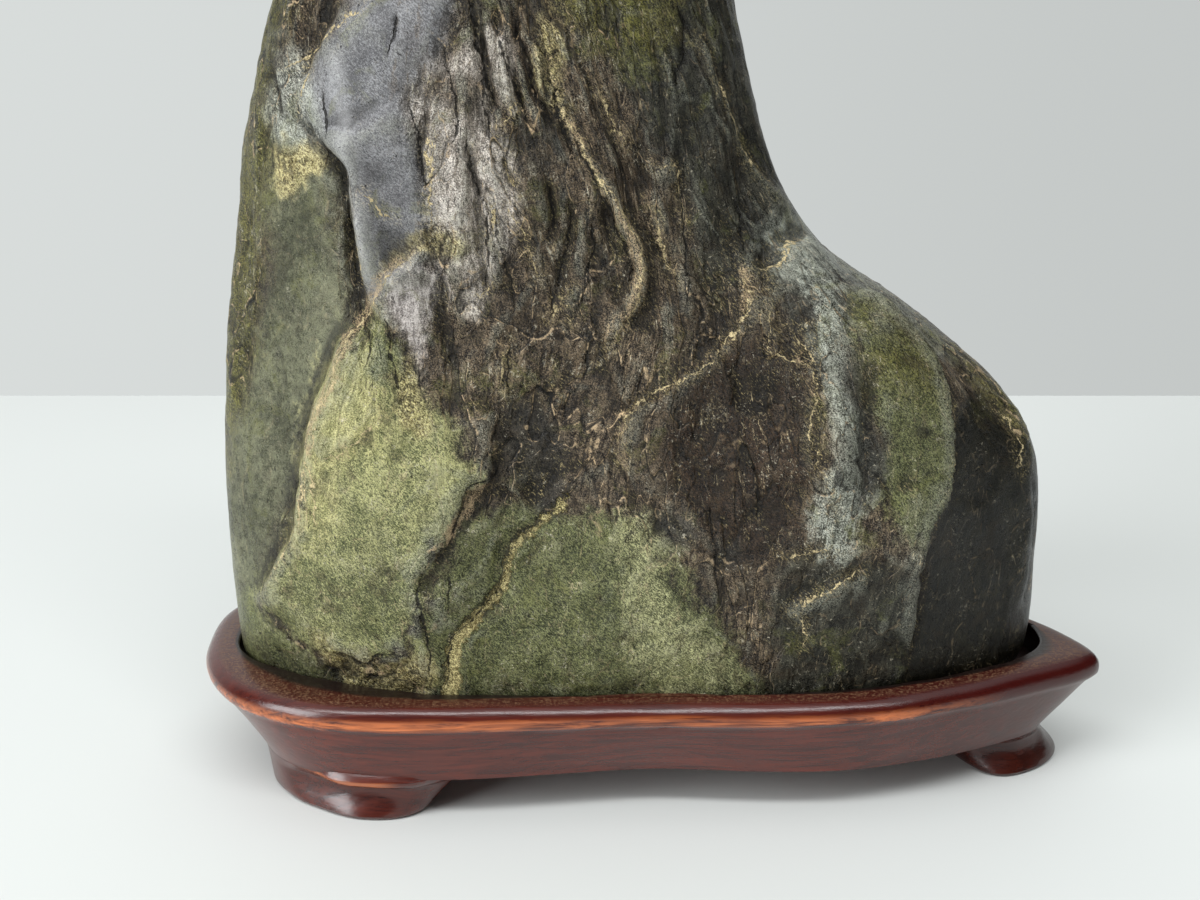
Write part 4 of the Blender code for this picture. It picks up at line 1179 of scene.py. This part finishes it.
def buildFoot(name, apronFoot):
    apronBearing, apronReach = np.arctan2(apronFoot[:, 1], apronFoot[:, 0]), np.linalg.norm(apronFoot, axis=1)
    floorOutline = closedCurve(stand["feet"][name], stand["footSegments"])
    middle = floorOutline.mean(axis=0)
    offset = floorOutline - middle
    toward = math.copysign(1.0, -middle[0])
    front = math.copysign(1.0, middle[1])
    bearing = np.arctan2(offset[:, 0] * toward, offset[:, 1] * front)
    face = smoothStep(1.5 - np.abs(bearing + 0.15) / 0.9)
    lid = smoothStep(1.15 - np.abs(bearing - 0.3) / 0.75) * (name == stand["lidded"])
    inner = np.maximum(offset[:, 0] * toward / np.abs(offset[:, 0]).max(), 0) ** 1.3
    rings = []
    for z, inset, flush, hollow, swell in stand["footLevels"]:
        ring = middle + drawnIn(offset, inset)
        reach = np.linalg.norm(ring, axis=1)
        edge = np.interp(np.arctan2(ring[:, 1], ring[:, 0]), apronBearing, apronReach, period=math.tau)
        outer = smoothStep((reach - edge + 8) / 5) * flush
        ring *= (1 + outer * ((edge - inset) / reach - 1))[:, None]
        ring[:, 1] += (lid * swell - face * hollow) * front
        ring[:, 0] += inner * toward * stand["bracket"] * min(z / stand["bracketTop"], 1.0) ** 1.2
        rings.append(atHeight(ring, z))
    return addObject("foot", toMesh(ringsToForm(rings), "foot"))


def buildStand():
    outline = closedCurve(stand["rim"], stand["segments"])
    towardEnd = np.abs(outline[:, 0]) / np.abs(outline[:, 0]).max()
    undercut = stand["undercutFront"] + (stand["undercutEnd"] - stand["undercutFront"]) * towardEnd**10
    piece = addObject("carvedStand", buildTray(outline, undercut))
    blanks = []
    for name in stand["feet"]:
        blanks.append(buildFoot(name, drawnIn(outline, undercut)))
        join = piece.modifiers.new(name, "BOOLEAN")
        join.operation = "UNION"
        join.solver = "EXACT"
        join.object = blanks[-1]
    bpy.context.view_layer.update()
    joined = bpy.data.meshes.new_from_object(piece.evaluated_get(bpy.context.evaluated_depsgraph_get()))
    piece.modifiers.clear()
    piece.data = joined
    for blank in blanks:
        bpy.data.objects.remove(blank)
    joined.shade_smooth()
    joined.set_sharp_from_angle(angle=math.radians(stand["sharpAngle"]))
    return piece


standPiece = buildStand()

standLook = {
    "tints": {
        "woodDark": (58, 14, 7), "woodLight": (100, 34, 17), "grain": (22, 6, 4), "lip": (58, 7, 5),
        "worn": (246, 138, 74), "top": (58, 17, 10), "dust": (150, 116, 84), "socket": (10, 5, 4),
    },
    "wornAt": 22.6,  # height of the rubbed edge under the rim
    "lidAt": (-58.0, 8.7),  # x and height of the rubbed lid over the left foot
    "specular": 0.48,
    "coat": (0.34, 0.1),  # at the left and at the right end
    "coatRoughness": 0.2,
    "bumpHeight": 1.0,
}


def standFinish():
    made, shader, place = newMaterial("redLacquer")
    tints = {name: tint(*colour) for name, colour in standLook["tints"].items()}
    x, y, z = place.apart()
    along = place.together(x * 0.06, y * 0.9, z * 0.9)
    grain = along.noise(0.9, 4.0, 0.65, 0.4)
    fine = along.noise(3.0, 3.0, 0.6)
    patch = place.noise(0.06, 2.0, 0.5)
    speck = place.noise(1.4, 2.0, 0.6)
    colour = grain.ramp(0.25, 0.75).blend(tints["woodDark"], tints["woodLight"])
    colour = (fine.ramp(0.55, 0.75) * 0.5).blend(colour, tints["grain"])
    # painted shade: darker to the right and near the table
    colour = (x.ramp(20.0, 90.0, 0.0, 0.4) + z.ramp(13.0, 4.0, 0.0, 0.25)).blend(colour, tints["grain"])
    # the lip and the rim above it are a deeper red, more so toward the right end, where that is painted shade
    colour = (z.ramp(21.0, 23.0) * x.ramp(20.0, 70.0, 0.45, 0.9)).blend(colour, tints["lip"])
    # the lip's lower edge and the lid are rubbed through to the paler wood
    band = (z + (grain - 0.5) * 3.0 - standLook["wornAt"]).size().ramp(1.6, 0.2)
    worn = band * ((patch - 0.5) * 1.4 + (grain - 0.5) * 2.2 + 0.45).ramp(0.0, 1.0) * x.ramp(72.0, 40.0)
    colour = (worn * 0.72).blend(colour, tints["worn"])
    lidX, lidZ = standLook["lidAt"]
    lid = (z + (grain - 0.5) * 1.6 - lidZ).size().ramp(1.0, 0.2) * (x - lidX).size().ramp(11.0, 5.0)
    colour = (lid * 0.45).blend(colour, tints["worn"])
    # dust lies on the flat of the rim, and the recess is darkened with painted shade
    outX, outY, up = place.node("ShaderNodeNewGeometry", output="Normal").apart()
    flat = up.ramp(0.9, 0.99)
    colour = (flat * 0.6).blend(colour, tints["top"])
    dust = (speck.ramp(0.48, 0.66) * 0.5).most(place.noise(2.6, 2.0, 0.6).ramp(0.56, 0.64))
    dust = dust * flat * z.ramp(25.0, 25.6)
    colour = (dust * 0.5).blend(colour, tints["dust"])
    inward = (outX * x * 0.2 + outY * y).ramp(-0.5, -2.0).most(up.ramp(0.5, 0.9) * z.ramp(24.5, 23.0))
    colour = (inward * z.ramp(19.0, 19.8) * 0.9).blend(colour, tints["socket"])
    relief = (grain - 0.5) * 0.10 + (fine - 0.5) * 0.06
    heights = {"Height": relief, "Distance": standLook["bumpHeight"] * mm, "Strength": 0.6}
    feed(shader, {
        "Base Color": colour,
        "Roughness": 0.24 + (grain - 0.5) * 0.10 + flat * 0.14 + dust * 0.2,
        "Specular IOR Level": standLook["specular"],
        "Coat Weight": x.ramp(20.0, 80.0, *standLook["coat"]),
        "Coat Roughness": standLook["coatRoughness"],
        "Normal": place.node("ShaderNodeBump", None, heights),
    })
    return made


standPiece.data.materials.append(standFinish())
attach(standPiece, "root")
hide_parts("stand")


print("stage: sizes")


for piece in (stonePiece, standPiece):
    piece.data.calc_loop_triangles()
    print(piece.name, len(piece.data.loop_triangles), "triangles")
